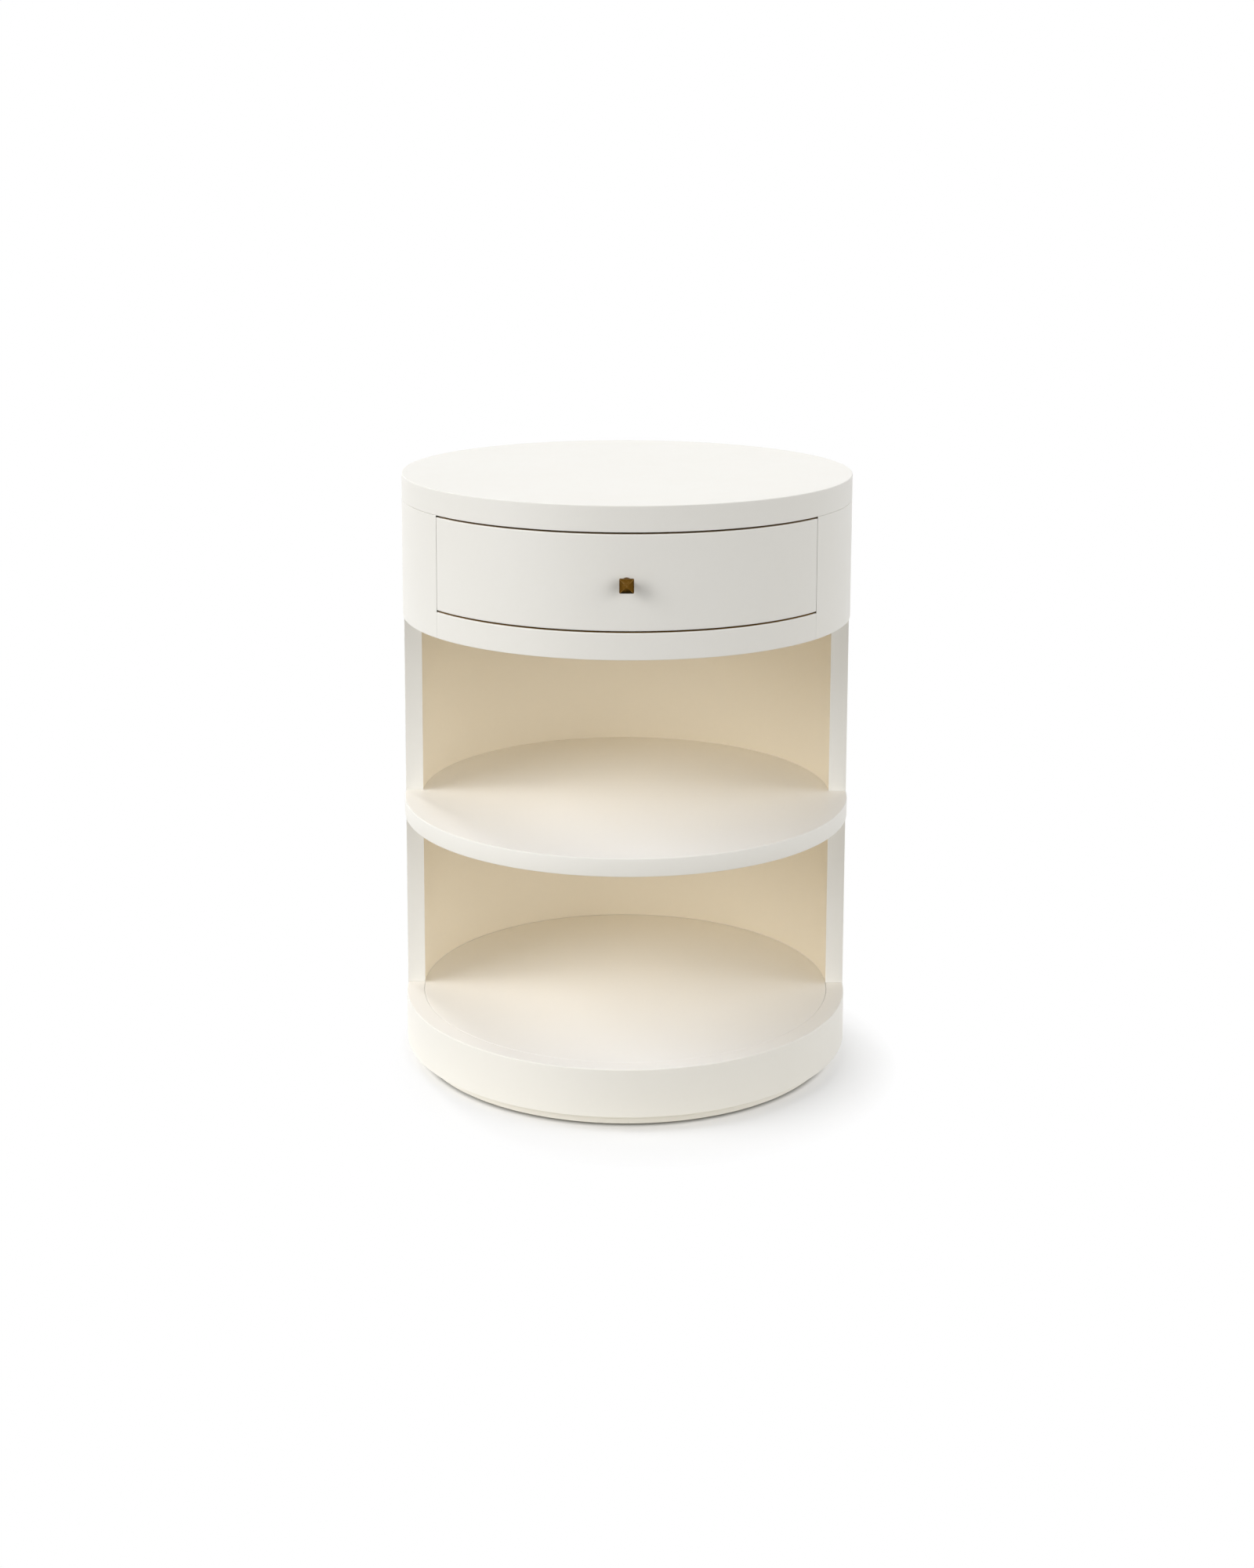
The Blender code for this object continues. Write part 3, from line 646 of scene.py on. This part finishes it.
def brass(context):
    """Antique brass: dark patina stains, with painted light on the upper facets, painted shade on the lower
    facet and painted highlights along the ridges.
    """
    found = bpy.data.materials.get("antique_brass_finish")
    if found:
        return found
    colors = context.scene.nightstand_colors
    material, tree, shader = new_material("antique_brass_finish")
    spots = {"Vector": object_place(tree), "Scale": 420.0}
    aged = add_node(tree, "ShaderNodeGroup", spots, node_tree=tarnish_group())
    # The attribute paints light and shade by facet and highlights along the ridges; the tarnish mask darkens
    # it in stains.
    facet_light = add_node(tree, "ShaderNodeAttribute", attribute_name="facet_light").outputs["Fac"]
    patina_and_light = math(tree, "SUBTRACT", facet_light, math(tree, "MULTIPLY", aged.outputs["Mask"], 0.25))
    lit_untarnished = spread(tree, patina_and_light, 0.0, 0.7)
    color = blend(tree, lit_untarnished, (*colors.brass_patina_and_shade, 1.0), (*colors.brass_lit_facets, 1.0))
    color = blend(tree, spread(tree, patina_and_light, 0.7, 1.0), color, (*colors.brass_ridge_highlight, 1.0))
    roughness = spread(tree, aged.outputs["Mask"], 0.0, 1.0, 0.34, 0.5)
    normal = bumped(tree, aged.outputs["Height"], 0.08, 0.0002)
    set_inputs(tree, shader, {"Base Color": color, "Metallic": 1.0, "Roughness": roughness, "Normal": normal})
    return material


def felt(context):
    """Pressed felt: short tangled fibres."""
    found = bpy.data.materials.get("felt_finish")
    if found:
        return found
    color = np.array(context.scene.nightstand_colors.felt)
    material, tree, shader = new_material("felt_finish")
    fibres = noise(tree, object_place(tree), 1500.0, 4.0, 0.7)
    toned = blend(tree, spread(tree, fibres, 0.3, 0.7), (*(color * 0.6), 1.0), (*color, 1.0))
    normal = bumped(tree, fibres, 0.5, 0.0004)
    set_inputs(tree, shader, {"Base Color": toned, "Roughness": 0.95, "Normal": normal})
    return material


def pale_floor(context):
    """Matt studio paper: dull in the light it throws back, white to the eye beyond a soft shadow whose
    outline and contact line are painted.
    """
    color = np.array(context.scene.nightstand_colors.floor)
    material, tree, shader = new_material("pale_floor_finish")
    place = object_place(tree)
    seen = seen_rays(tree)
    clouds = spread(tree, noise(tree, place, 1.3, 2.0), 0.3, 0.7)
    paper = blend(tree, clouds, (*color, 1.0), (*(color * 0.995), 1.0))
    away = add_node(tree, "ShaderNodeVectorMath", {0: place}, operation="LENGTH").outputs["Value"]

    # What the paper throws back is bright and warm near the plinth, and dull further out.
    warm, dull = (0.85, 0.80, 0.68, 1.0), (0.37, 0.335, 0.265, 1.0)
    bounce = blend(tree, spread(tree, away, 0.25, 0.33), warm, dull)
    unseen = blend(tree, 1.0, paper, bounce, "MULTIPLY")

    # Painted contact shadow: a thin dark line on the paper along the edge of the plinth.
    painted_contact_shadow = spread(tree, away, 0.238, 0.244, 0.62, 1.0)
    shaded = blend(tree, painted_contact_shadow, (0.0, 0.0, 0.0, 1.0), paper)
    set_inputs(tree, shader, {"Base Color": blend(tree, seen, unseen, shaded)})
    set_inputs(tree, shader, {"Roughness": 0.95, "Specular IOR Level": 0.0})

    # Painted shadow outline: the white seen on the paper is held back in a pool that hugs the plinth and
    # reaches out towards +X and the front, so the cast shadow shows only inside it.
    painted_shadow_middle = (0.022, -0.052, 0.0)
    aside = add_node(tree, "ShaderNodeVectorMath", {0: place, 1: painted_shadow_middle}, operation="DISTANCE")
    reach = spread(tree, aside.outputs["Value"], 0.195, 0.29, 0.25, 1.0)
    touch = spread(tree, away, 0.236, 0.264)
    share = math(tree, "MULTIPLY", math(tree, "MINIMUM", reach, touch), seen)
    white = add_node(tree, "ShaderNodeEmission", {"Color": WHITE, "Strength": 1.0})
    both = {0: share, 1: shader.outputs["BSDF"], 2: white.outputs["Emission"]}
    mixed = add_node(tree, "ShaderNodeMixShader", both)
    tree.links.new(mixed.outputs["Shader"], tree.get_output_node("ALL").inputs["Surface"])
    return material


# Pieces


def levels(node):
    """Lowest and highest height of a node."""
    low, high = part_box(node)
    return low.z, high.z


def box_corners(node):
    """Lowest and highest corner of a node as arrays."""
    return [np.array(corner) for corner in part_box(node)]


def wall_section(sizes, low, high, eases):
    """Section of the drum's wall between two heights; the eases run from inside below to inside above."""
    outer, inner = sizes.drum_radius, sizes.drum_radius - sizes.wall
    return eased_outline([(inner, low), (outer, low), (outer, high), (inner, high)], eases, steps=4)


class NIGHTSTAND_OT_base(bpy.types.Operator):
    """The recessed plinth, the base ring with its ledge, the panel on the ledge and the felt pads"""

    bl_idname = "nightstand.base"
    bl_label = "Base"

    def execute(self, context):
        sizes = context.scene.nightstand_sizes
        paint_outside, lightened_paint = outside_lacquer(context), lightened_shelf_lacquer(context)
        around = sizes.around

        low, high = levels("toe_plinth")
        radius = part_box("toe_plinth")[1].x
        points, faces = turned(disc_profile(radius, low, high, sizes.lower_ease), around)
        piece("toe_plinth", points, faces, paint_outside, "cabinet")

        low, high = levels("base_ring")
        inner = sizes.drum_radius - sizes.wall
        ledge_top = levels("base_panel")[0] - sizes.seam
        corners = [
            (sizes.drum_radius, high),
            (sizes.drum_radius, low),
            (inner - sizes.ledge, low),
            (inner - sizes.ledge, ledge_top),
            (inner, ledge_top),
            (inner, high),
        ]
        ease, fine = sizes.shelf_ease, sizes.crisp
        outline = eased_outline(corners, (ease, ease, fine, fine, 0.0, fine))
        points, faces = turned(outline, around, ring=True)
        # Painted light: the ring's upper faces take the lighter shelf lacquer, its sides the outside lacquer.
        upper = level_faces(points, faces, [], True, False)
        finishes = [paint_outside, lightened_paint]
        piece("base_ring", points, faces, finishes, "cabinet", face_finish=upper)

        low, high = levels("base_panel")
        outline = round_board(inner - sizes.seam, inner - sizes.hairline, around)
        eases = np.repeat([sizes.crisp, sizes.hairline], len(outline) // 2)
        points, faces, caps = outline_prism(outline, low, high, eases)
        piece("base_panel", points, faces, lightened_paint, "cabinet", caps)

        cloth = felt(context)
        for node in ("floor_pad_center", "floor_pad_1", "floor_pad_2", "floor_pad_3", "floor_pad_4"):
            lowest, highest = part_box(node)
            middle = (lowest + highest) / 2
            radius = (highest.x - lowest.x) / 2
            rim = disc_profile(radius, lowest.z, highest.z, sizes.pad_ease, steps=3)
            points, faces = turned(rim, count=48)
            points += np.array([middle.x, middle.y, 0.0])
            piece(node, points, faces, cloth, "cabinet")
        return {"FINISHED"}


class NIGHTSTAND_OT_shell(bpy.types.Operator):
    """The half-round wall at the back of the drum"""

    bl_idname = "nightstand.shell"
    bl_label = "Back wall"

    def execute(self, context):
        sizes = context.scene.nightstand_sizes
        low, high = levels("back_shell")
        low -= sizes.seam - sizes.hairline
        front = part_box("back_shell")[0].y
        span = pi * sizes.drum_radius
        block = (span, sizes.wall, high - low)
        points, faces, face_numbers = eased_block(block, sizes.crisp, counts=(sizes.around // 2, 1, 8))
        points = wrapped(
            points,
            span,
            sizes.drum_radius - sizes.wall,
            low,
            lambda radius: pi / 2 + np.arcsin(front / radius),
            lambda radius: 3 * pi / 2 - np.arcsin(front / radius),
        )
        # Painted warm shade: the hollow side takes the tan inside lacquer.
        finishes = [outside_lacquer(context), inside_shade_lacquer(context)]
        inner_side = 2
        hollow = (face_numbers == inner_side).astype(int)
        piece("back_shell", points, faces, finishes, "cabinet", face_finish=hollow)
        return {"FINISHED"}


class NIGHTSTAND_OT_shelves(bpy.types.Operator):
    """The middle shelf, full round at the front and inside the wall behind, and the drum's floor"""

    bl_idname = "nightstand.shelves"
    bl_label = "Shelves"

    def execute(self, context):
        sizes = context.scene.nightstand_sizes
        lightened_paint = lightened_shelf_lacquer(context)
        low, high = levels("middle_shelf")
        inner = sizes.drum_radius - sizes.wall - sizes.hairline
        outline = round_board(sizes.drum_radius, inner, sizes.around)
        eases = np.repeat([sizes.shelf_ease, sizes.hairline], len(outline) // 2)
        points, faces, caps = outline_prism(outline, low, high, eases)
        # Painted light: the shelf's flat faces take the lighter lacquer, its rim the outside lacquer.
        flats = level_faces(points, faces, caps, True, True)
        finishes = [outside_lacquer(context), lightened_paint]
        piece("middle_shelf", points, faces, finishes, "cabinet", caps, flats)

        low, high = levels("drum_floor")
        points, faces = turned(disc_profile(inner, low, high, sizes.lower_ease), sizes.around)
        piece("drum_floor", points, faces, lightened_paint, "cabinet")
        return {"FINISHED"}


class NIGHTSTAND_OT_drum(bpy.types.Operator):
    """The stiles beside the drawer, the rail under it and the top slab"""

    bl_idname = "nightstand.drum"
    bl_label = "Drum and top"

    def execute(self, context):
        sizes = context.scene.nightstand_sizes
        bare = context.scene.nightstand_colors.bare_edge_and_gap_shade
        # The slab's underside, the rail's top and the stiles' ends fade to bare board darkened as painted
        # shade in the gaps round the drawer.
        finishes = [outside_lacquer(context), fading_lacquer(context, "gap_shade_finish", bare)]
        outer, crisp = sizes.drum_radius, sizes.crisp

        low, high = levels("top_panel")
        corners = [(0.0, low), (outer, low), (outer, high), (0.0, high)]
        points, faces = turned(eased_outline(corners, (0.0, crisp, sizes.slab_ease, 0.0)), sizes.around)
        under = level_faces(points, faces, [], False, True)
        piece("top_panel", points, faces, finishes, "cabinet", face_finish=under)

        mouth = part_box("drawer_front")[1].x + sizes.widen + sizes.reveal
        rail_end = mouth - sizes.hairline
        eases = (crisp, sizes.lower_ease, sizes.front_ease, crisp)
        section = wall_section(sizes, *levels("drawer_rail"), eases)
        points, faces, caps = swept(
            section, lambda r: -np.arcsin(rail_end / r), lambda r: np.arcsin(rail_end / r), count=88
        )
        rail_faces = level_faces(points, faces, caps, True, False)
        piece("drawer_rail", points, faces, finishes, "cabinet", caps, rail_faces)

        section = wall_section(sizes, *levels("right_stile"), (crisp, sizes.lower_ease, crisp, crisp))
        points, faces, caps = swept(
            section, lambda r: np.arcsin(mouth / r), lambda r: pi / 2 + 0 * r, count=30
        )
        stile_faces = level_faces(points, faces, caps, False, False)
        for name, side in SIDES:
            made = mirrored(points, side)
            piece(f"{name}_stile", made, faces, finishes, "cabinet", caps, stile_faces)
        return {"FINISHED"}


class NIGHTSTAND_OT_drawer_front(bpy.types.Operator):
    """The curved drawer front, lacquered outside and bare on its edges and back, the bare tone darkened as
    painted shade in the gap above it
    """

    bl_idname = "nightstand.drawer_front"
    bl_label = "Drawer front"

    def execute(self, context):
        sizes = context.scene.nightstand_sizes
        low = levels("drawer_rail")[1] + sizes.gap_below
        high = levels("top_panel")[0] - sizes.gap_above
        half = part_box("drawer_front")[1].x + sizes.widen
        eases = (sizes.crisp, sizes.front_ease, sizes.front_ease, sizes.crisp)
        section = wall_section(sizes, low, high, eases)
        points, faces, caps = swept(
            section, lambda r: -np.arcsin(half / r), lambda r: np.arcsin(half / r), count=88
        )
        # The edges and back fade to bare board, darkened as painted shade where the top edge shows in the
        # gap.
        bare_shade_faces = level_faces(points, faces, caps, True, True)
        radius = np.hypot(points[:, 0], points[:, 1])
        bare_shade_faces[: len(faces)] |= radius[faces].max(axis=1) < sizes.drum_radius - sizes.wall / 2
        bare = context.scene.nightstand_colors.bare_front_and_gap_shade
        finishes = [outside_lacquer(context), fading_lacquer(context, "front_edge_shade_finish", bare)]
        piece("drawer_front", points, faces, finishes, "drawer", caps, bare_shade_faces)
        return {"FINISHED"}


def board(context, node, body, along, across, shaped=None):
    """A birch board in the node's box, with its grain along one axis and its layers across another."""
    low, high = box_corners(node)
    ease = context.scene.nightstand_sizes.board_ease
    points, faces, _ = eased_block(high - low, ease, counts=(2, 2, 2))
    upright = 3 - along - across
    # Each board is cut from its own place in the stock, so that no two show the same figure.
    stock = np.array([low[1] * 3.0, low[0] * 7.0, low[2] * 5.0])
    fields = {
        "grain": points[:, [along, across, upright]] + stock,
        "ply": points[:, across] / (high - low)[across],
    }
    points = points + low
    if shaped is not None:
        points = shaped(points, low, high)
    piece(node, points, faces, birch(context), body, fields=fields)


class NIGHTSTAND_OT_drawer_box(bpy.types.Operator):
    """The birch boards of the drawer box and its bottom"""

    bl_idname = "nightstand.drawer_box"
    bl_label = "Drawer box"

    def execute(self, context):
        sizes = context.scene.nightstand_sizes
        touch = sizes.drum_radius - sizes.wall - sizes.seam

        def to_front(points, low, high):
            """Moves the front end of a side board onto the curved face it meets."""
            rear = high[1]
            share = (rear - points[:, 1]) / (rear - low[1])
            meeting = -np.sqrt(touch**2 - points[:, 0] ** 2)
            points[:, 1] = rear + share * (meeting - rear)
            return points

        for name, _ in SIDES:
            board(context, f"drawer_{name}_side", "drawer", Y, X, to_front)
        board(context, "drawer_back", "drawer", X, Y)

        low, high = box_corners("drawer_bottom")
        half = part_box("drawer_right_side")[0].x - sizes.seam
        edge = np.arcsin(half / touch)
        front_points = 49
        angle = np.linspace(-edge, edge, front_points)
        outline = np.concatenate(
            [
                np.stack([touch * np.sin(angle), -touch * np.cos(angle)], axis=1),
                np.array([(half, high[1]), (-half, high[1])]),
            ]
        )
        points, faces, caps = outline_prism(outline, low[2], high[2], sizes.bottom_ease, steps=2)
        fields = {
            "grain": points[:, [0, 2, 1]] + np.array([0.7, 0.0, 0.3]),
            "ply": (points[:, 2] - low[2]) / (high[2] - low[2]),
        }
        piece("drawer_bottom", points, faces, birch(context), "drawer", caps, fields=fields)
        return {"FINISHED"}


class NIGHTSTAND_OT_inner_boards(bpy.types.Operator):
    """The cheeks that carry the slides, the cleats under the top and the dowels in the stiles"""

    bl_idname = "nightstand.inner_boards"
    bl_label = "Inner boards"

    def execute(self, context):
        ease = context.scene.nightstand_sizes.dowel_ease
        for name, _ in SIDES:
            board(context, f"{name}_cheek", "cabinet", Y, X)
            board(context, f"{name}_top_cleat", "cabinet", Y, X)
            for place in ("lower", "upper"):
                node = f"{name}_{place}_stile_dowel"
                low, high = box_corners(node)
                middle = (low + high) / 2
                rod = disc_profile((high[0] - low[0]) / 2, low[1], high[1], ease, steps=2)
                points, faces = turned(rod, count=32)
                fields = {"grain": points[:, [2, 0, 1]] + middle, "ply": np.zeros(len(points))}
                points = points[:, [0, 2, 1]] + np.array([middle[0], 0.0, middle[2]])
                piece(node, points, faces, birch(context), "cabinet", fields=fields)
        return {"FINISHED"}


class NIGHTSTAND_OT_knob(bpy.types.Operator):
    """The square knob: a rose and a round neck that swells into a plate with a pyramid face"""

    bl_idname = "nightstand.knob"
    bl_label = "Knob"

    def execute(self, context):
        sizes = context.scene.nightstand_sizes
        low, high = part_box("knob")
        height = (low.z + high.z) / 2
        depth = high.y - low.y
        half = sizes.knob_half
        back, front = depth - 0.0070, depth - 0.0040
        rose_edge, rose_top, flare = 0.0017, 0.0024, 0.0030
        corners = [
            (0.0, 0.0),
            (sizes.knob_rose, 0.0),
            (sizes.knob_rose, rose_edge),
            (sizes.knob_neck, rose_top),
            (sizes.knob_neck, back - flare),
            (half, back),
            (half, front),
            (0.0, depth),
        ]
        eases = (0.0, 0.0002, 0.0006, 0.0005, 0.0012, 0.0004, 0.0004, 0.0)
        profile = eased_outline(corners, eases, steps=4, hold=0.0002)
        half_now, out = profile[:, 0], profile[:, 1]
        square = np.clip((out - (back - flare)) / flare, 0.0, 1.0)
        corner_now = half_now + square * (sizes.knob_corner * half_now / half - half_now)
        quarter_points = 9
        across, upwards = rounded_squares(half_now, corner_now, quarter_points)
        outwards = np.repeat(out[:, None], across.shape[1], axis=1)
        points = np.stack([across, high.y - outwards, height + upwards], axis=-1)
        # Painted light and shade by facet: the upper facets lighter and the lower facet dark, with painted
        # highlights along the ridges.
        turn = np.concatenate([np.linspace(0.0, 1.0, quarter_points) + quarter for quarter in range(4)])
        facet = np.interp(turn, range(5), (0.46, 0.73, 0.60, -0.12, 0.46))
        ridge = np.sin(pi * turn) ** 2
        facet_light = facet + (1.1 - facet) * ridge + 0.0 * outwards
        faces = grid_quads(*across.shape, turn_columns=True)
        made = points.reshape(-1, 3)
        fields = {"facet_light": facet_light.reshape(-1)}
        piece("knob", made, faces, brass(context), "drawer", fields=fields, sharp=25.0)
        return {"FINISHED"}


class NIGHTSTAND_OT_slides(bpy.types.Operator):
    """The three nested steel members of each drawer slide"""

    bl_idname = "nightstand.slides"
    bl_label = "Slides"

    def execute(self, context):
        sizes = context.scene.nightstand_sizes
        steel = zinc(context)
        kinds = (
            ("cabinet", "cabinet", 1, sizes.sheet),
            ("middle", None, 1, sizes.race),
            ("drawer", "drawer", -1, sizes.sheet),
        )
        for kind, body, opening, flange in kinds:
            low, high = box_corners(f"right_{kind}_slide")
            web, tip = (high[0], low[0]) if opening > 0 else (low[0], high[0])
            inside = web - opening * sizes.sheet
            corners = [
                (web, low[2]),
                (web, high[2]),
                (tip, high[2]),
                (tip, high[2] - flange),
                (inside, high[2] - flange),
                (inside, low[2] + flange),
                (tip, low[2] + flange),
                (tip, low[2]),
            ]
            bend, lip = sizes.rail_bend, 0.0003
            section = eased_outline(corners, (bend, bend, *[lip] * 6), steps=4, hold=0.0002)
            along = np.array([low[1], high[1]])
            points = np.empty((2, len(section), 3))
            points[..., 0] = section[:, 0]
            points[..., 1] = along[:, None]
            points[..., 2] = section[:, 1]
            faces = grid_quads(2, len(section), turn_columns=True)
            caps = [np.arange(len(section)), np.arange(len(section)) + len(section)]
            for name, side in SIDES:
                node = f"{name}_{kind}_slide"
                made = mirrored(points.reshape(-1, 3), side)
                piece(node, made, faces, steel, body or node, caps)
        return {"FINISHED"}


class NIGHTSTAND_OT_screws(bpy.types.Operator):
    """The screws of the plinth, the top, the slides, the drawer bottom and the knob"""

    bl_idname = "nightstand.screws"
    bl_label = "Screws"

    def execute(self, context):
        steel = zinc(context)
        rise = 0.0020
        screws = [(f"plinth_screw_{number}", "cabinet", (0, 0, 1)) for number in (1, 2, 3, 4)]
        screws.append(("knob_screw", "drawer", (0, -1, 0)))
        for name, side in SIDES:
            screws.append((f"{name}_bottom_screw", "drawer", (0, 0, 1)))
            for place in ("front", "rear"):
                screws.append((f"{name}_{place}_top_screw", "cabinet", (0, 0, 1)))
                screws.append((f"{name}_{place}_cabinet_slide_screw", "cabinet", (side, 0, 0)))
                screws.append((f"{name}_{place}_drawer_slide_screw", "drawer", (-side, 0, 0)))
        for node, body, into in screws:
            low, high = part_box(node)
            into = Vector(into)
            middle = (low + high) / 2
            size = high - low
            whole = abs(size.dot(into))
            head = min(size) / 2
            shank = head * (0.42 if node == "knob_screw" else 0.5)
            points, faces = screw_surface(head, shank, rise, whole - rise)
            seat = middle - into * (whole / 2 - rise)
            turn = np.array((-into).to_track_quat("Z", "Y").to_matrix())
            points = points @ turn.T + np.array(seat)
            piece(node, points, faces, steel, body, sharp=30.0)
        return {"FINISHED"}


# Stage


class NIGHTSTAND_OT_stage(bpy.types.Operator):
    """The pale floor, the soft studio light and the camera"""

    bl_idname = "nightstand.stage"
    bl_label = "Stage"

    def execute(self, context):
        scene = context.scene
        floor_radius, floor_points = 0.95, 96
        angle = np.linspace(0.0, 2 * pi, floor_points, endpoint=False)
        rim = floor_radius * np.stack([np.cos(angle), np.sin(angle), 0.0 * angle], axis=1)
        mesh = bpy.data.meshes.new("studio_floor")
        mesh.from_pydata(rim, [], [np.arange(floor_points).tolist()])
        mesh.materials.append(pale_floor(context))
        floor = bpy.data.objects.new("studio_floor", mesh)
        scene.collection.objects.link(floor)

        def lamp(name, azimuth, elevation, size, level):
            """A soft far lamp that nothing mirrors; at level 1 it lights a white card facing it to white."""
            data = bpy.data.lights.new(name, "SUN")
            data.energy = level * pi
            data.angle = radians(size)
            made = bpy.data.objects.new(name, data)
            tilt, turn = radians(90 - elevation), radians(azimuth)
            made.rotation_euler = (Matrix.Rotation(turn, 3, "Z") @ Matrix.Rotation(tilt, 3, "X")).to_euler()
            made.visible_glossy = False
            scene.collection.objects.link(made)
            return made

        # Azimuth from the front towards +X, elevation, angular size and level of each softbox.
        softboxes = (
            ("left_light", -89, 38, 30, 0.44),
            ("left_side_light", -72, 28, 24, 0.095),
            ("left_rear_light", -152, 32, 10, 0.275),
            ("right_light", 97, 33, 40, 0.22),
            ("right_side_light", 70, 24, 36, 0.185),
            ("key_light", -53, 21, 28, 0.288),
            ("left_front_light", -47, 12, 58, 0.24),
            ("right_front_light", 30, 14, 40, 0.20),
            ("right_low_light", 55, 11, 56, 0.165),
            ("rear_light", 180, 10, 36, 0.30),
        )
        lamps = [lamp(*softbox) for softbox in softboxes]

        world = bpy.data.worlds.new("studio_air")
        world.use_nodes = True
        tree = world.node_tree
        tree.nodes.clear()
        fill = add_node(tree, "ShaderNodeBackground", {"Color": WHITE, "Strength": 0.01})
        white = add_node(tree, "ShaderNodeBackground", {"Color": WHITE, "Strength": 1.0})
        both = {0: seen_rays(tree), 1: fill.outputs["Background"], 2: white.outputs["Background"]}
        mixed = add_node(tree, "ShaderNodeMixShader", both)
        add_node(tree, "ShaderNodeOutputWorld", {"Surface": mixed.outputs["Shader"]})
        scene.world = world
        scene.view_settings.view_transform = "Standard"

        lens = bpy.data.cameras.new("photo_camera")
        lens.sensor_fit = "AUTO"
        lens.sensor_width = 36.0
        lens.lens = FOCAL_LENGTH / PHOTO_HEIGHT * lens.sensor_width
        lens.shift_y = -(PHOTO_HEIGHT / 2 - MIDDLE_ROW) / PHOTO_HEIGHT
        lens.clip_end = 200.0
        camera = bpy.data.objects.new("photo_camera", lens)
        camera.location = (0.0, -2.5525, 1.0486)
        look_down, lean = radians(8.541), radians(0.194)
        pitch = Matrix.Rotation(pi / 2 - look_down, 3, "X")
        roll = Matrix.Rotation(lean, 3, "Z")
        camera.rotation_euler = (pitch @ roll).to_euler()
        scene.collection.objects.link(camera)
        scene.camera = camera
        return {"FINISHED"}


class NIGHTSTAND_PT_panel(bpy.types.Panel):
    """Buttons for the pieces and the stage, with their sizes and colours"""

    bl_label = "Nightstand"
    bl_idname = "NIGHTSTAND_PT_panel"
    bl_space_type = "VIEW_3D"
    bl_region_type = "UI"
    bl_category = "Nightstand"

    def draw(self, context):
        layout = self.layout
        for operator in OPERATORS:
            layout.operator(operator.bl_idname)
        for settings in (context.scene.nightstand_sizes, context.scene.nightstand_colors):
            box = layout.box()
            for name in settings.__annotations__:
                box.prop(settings, name)


OPERATORS = (
    NIGHTSTAND_OT_base,
    NIGHTSTAND_OT_shell,
    NIGHTSTAND_OT_shelves,
    NIGHTSTAND_OT_drum,
    NIGHTSTAND_OT_drawer_front,
    NIGHTSTAND_OT_drawer_box,
    NIGHTSTAND_OT_inner_boards,
    NIGHTSTAND_OT_knob,
    NIGHTSTAND_OT_slides,
    NIGHTSTAND_OT_screws,
    NIGHTSTAND_OT_stage,
)
CLASSES = (NightstandSizes, NightstandColors, *OPERATORS, NIGHTSTAND_PT_panel)


def register():
    """Adds the classes and the settings to Blender."""
    for each in CLASSES:
        bpy.utils.register_class(each)
    bpy.types.Scene.nightstand_sizes = PointerProperty(type=NightstandSizes)
    bpy.types.Scene.nightstand_colors = PointerProperty(type=NightstandColors)


def unregister():
    """Takes the settings and the classes out again."""
    del bpy.types.Scene.nightstand_colors
    del bpy.types.Scene.nightstand_sizes
    for each in reversed(CLASSES):
        bpy.utils.unregister_class(each)


def main():
    """Builds every piece and the stage."""
    register()
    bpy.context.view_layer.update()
    bpy.ops.nightstand.base()
    bpy.ops.nightstand.shell()
    bpy.ops.nightstand.shelves()
    bpy.ops.nightstand.drum()
    bpy.ops.nightstand.drawer_front()
    bpy.ops.nightstand.drawer_box()
    bpy.ops.nightstand.inner_boards()
    bpy.ops.nightstand.knob()
    bpy.ops.nightstand.slides()
    bpy.ops.nightstand.screws()
    bpy.ops.nightstand.stage()


if __name__ == "__main__":
    main()
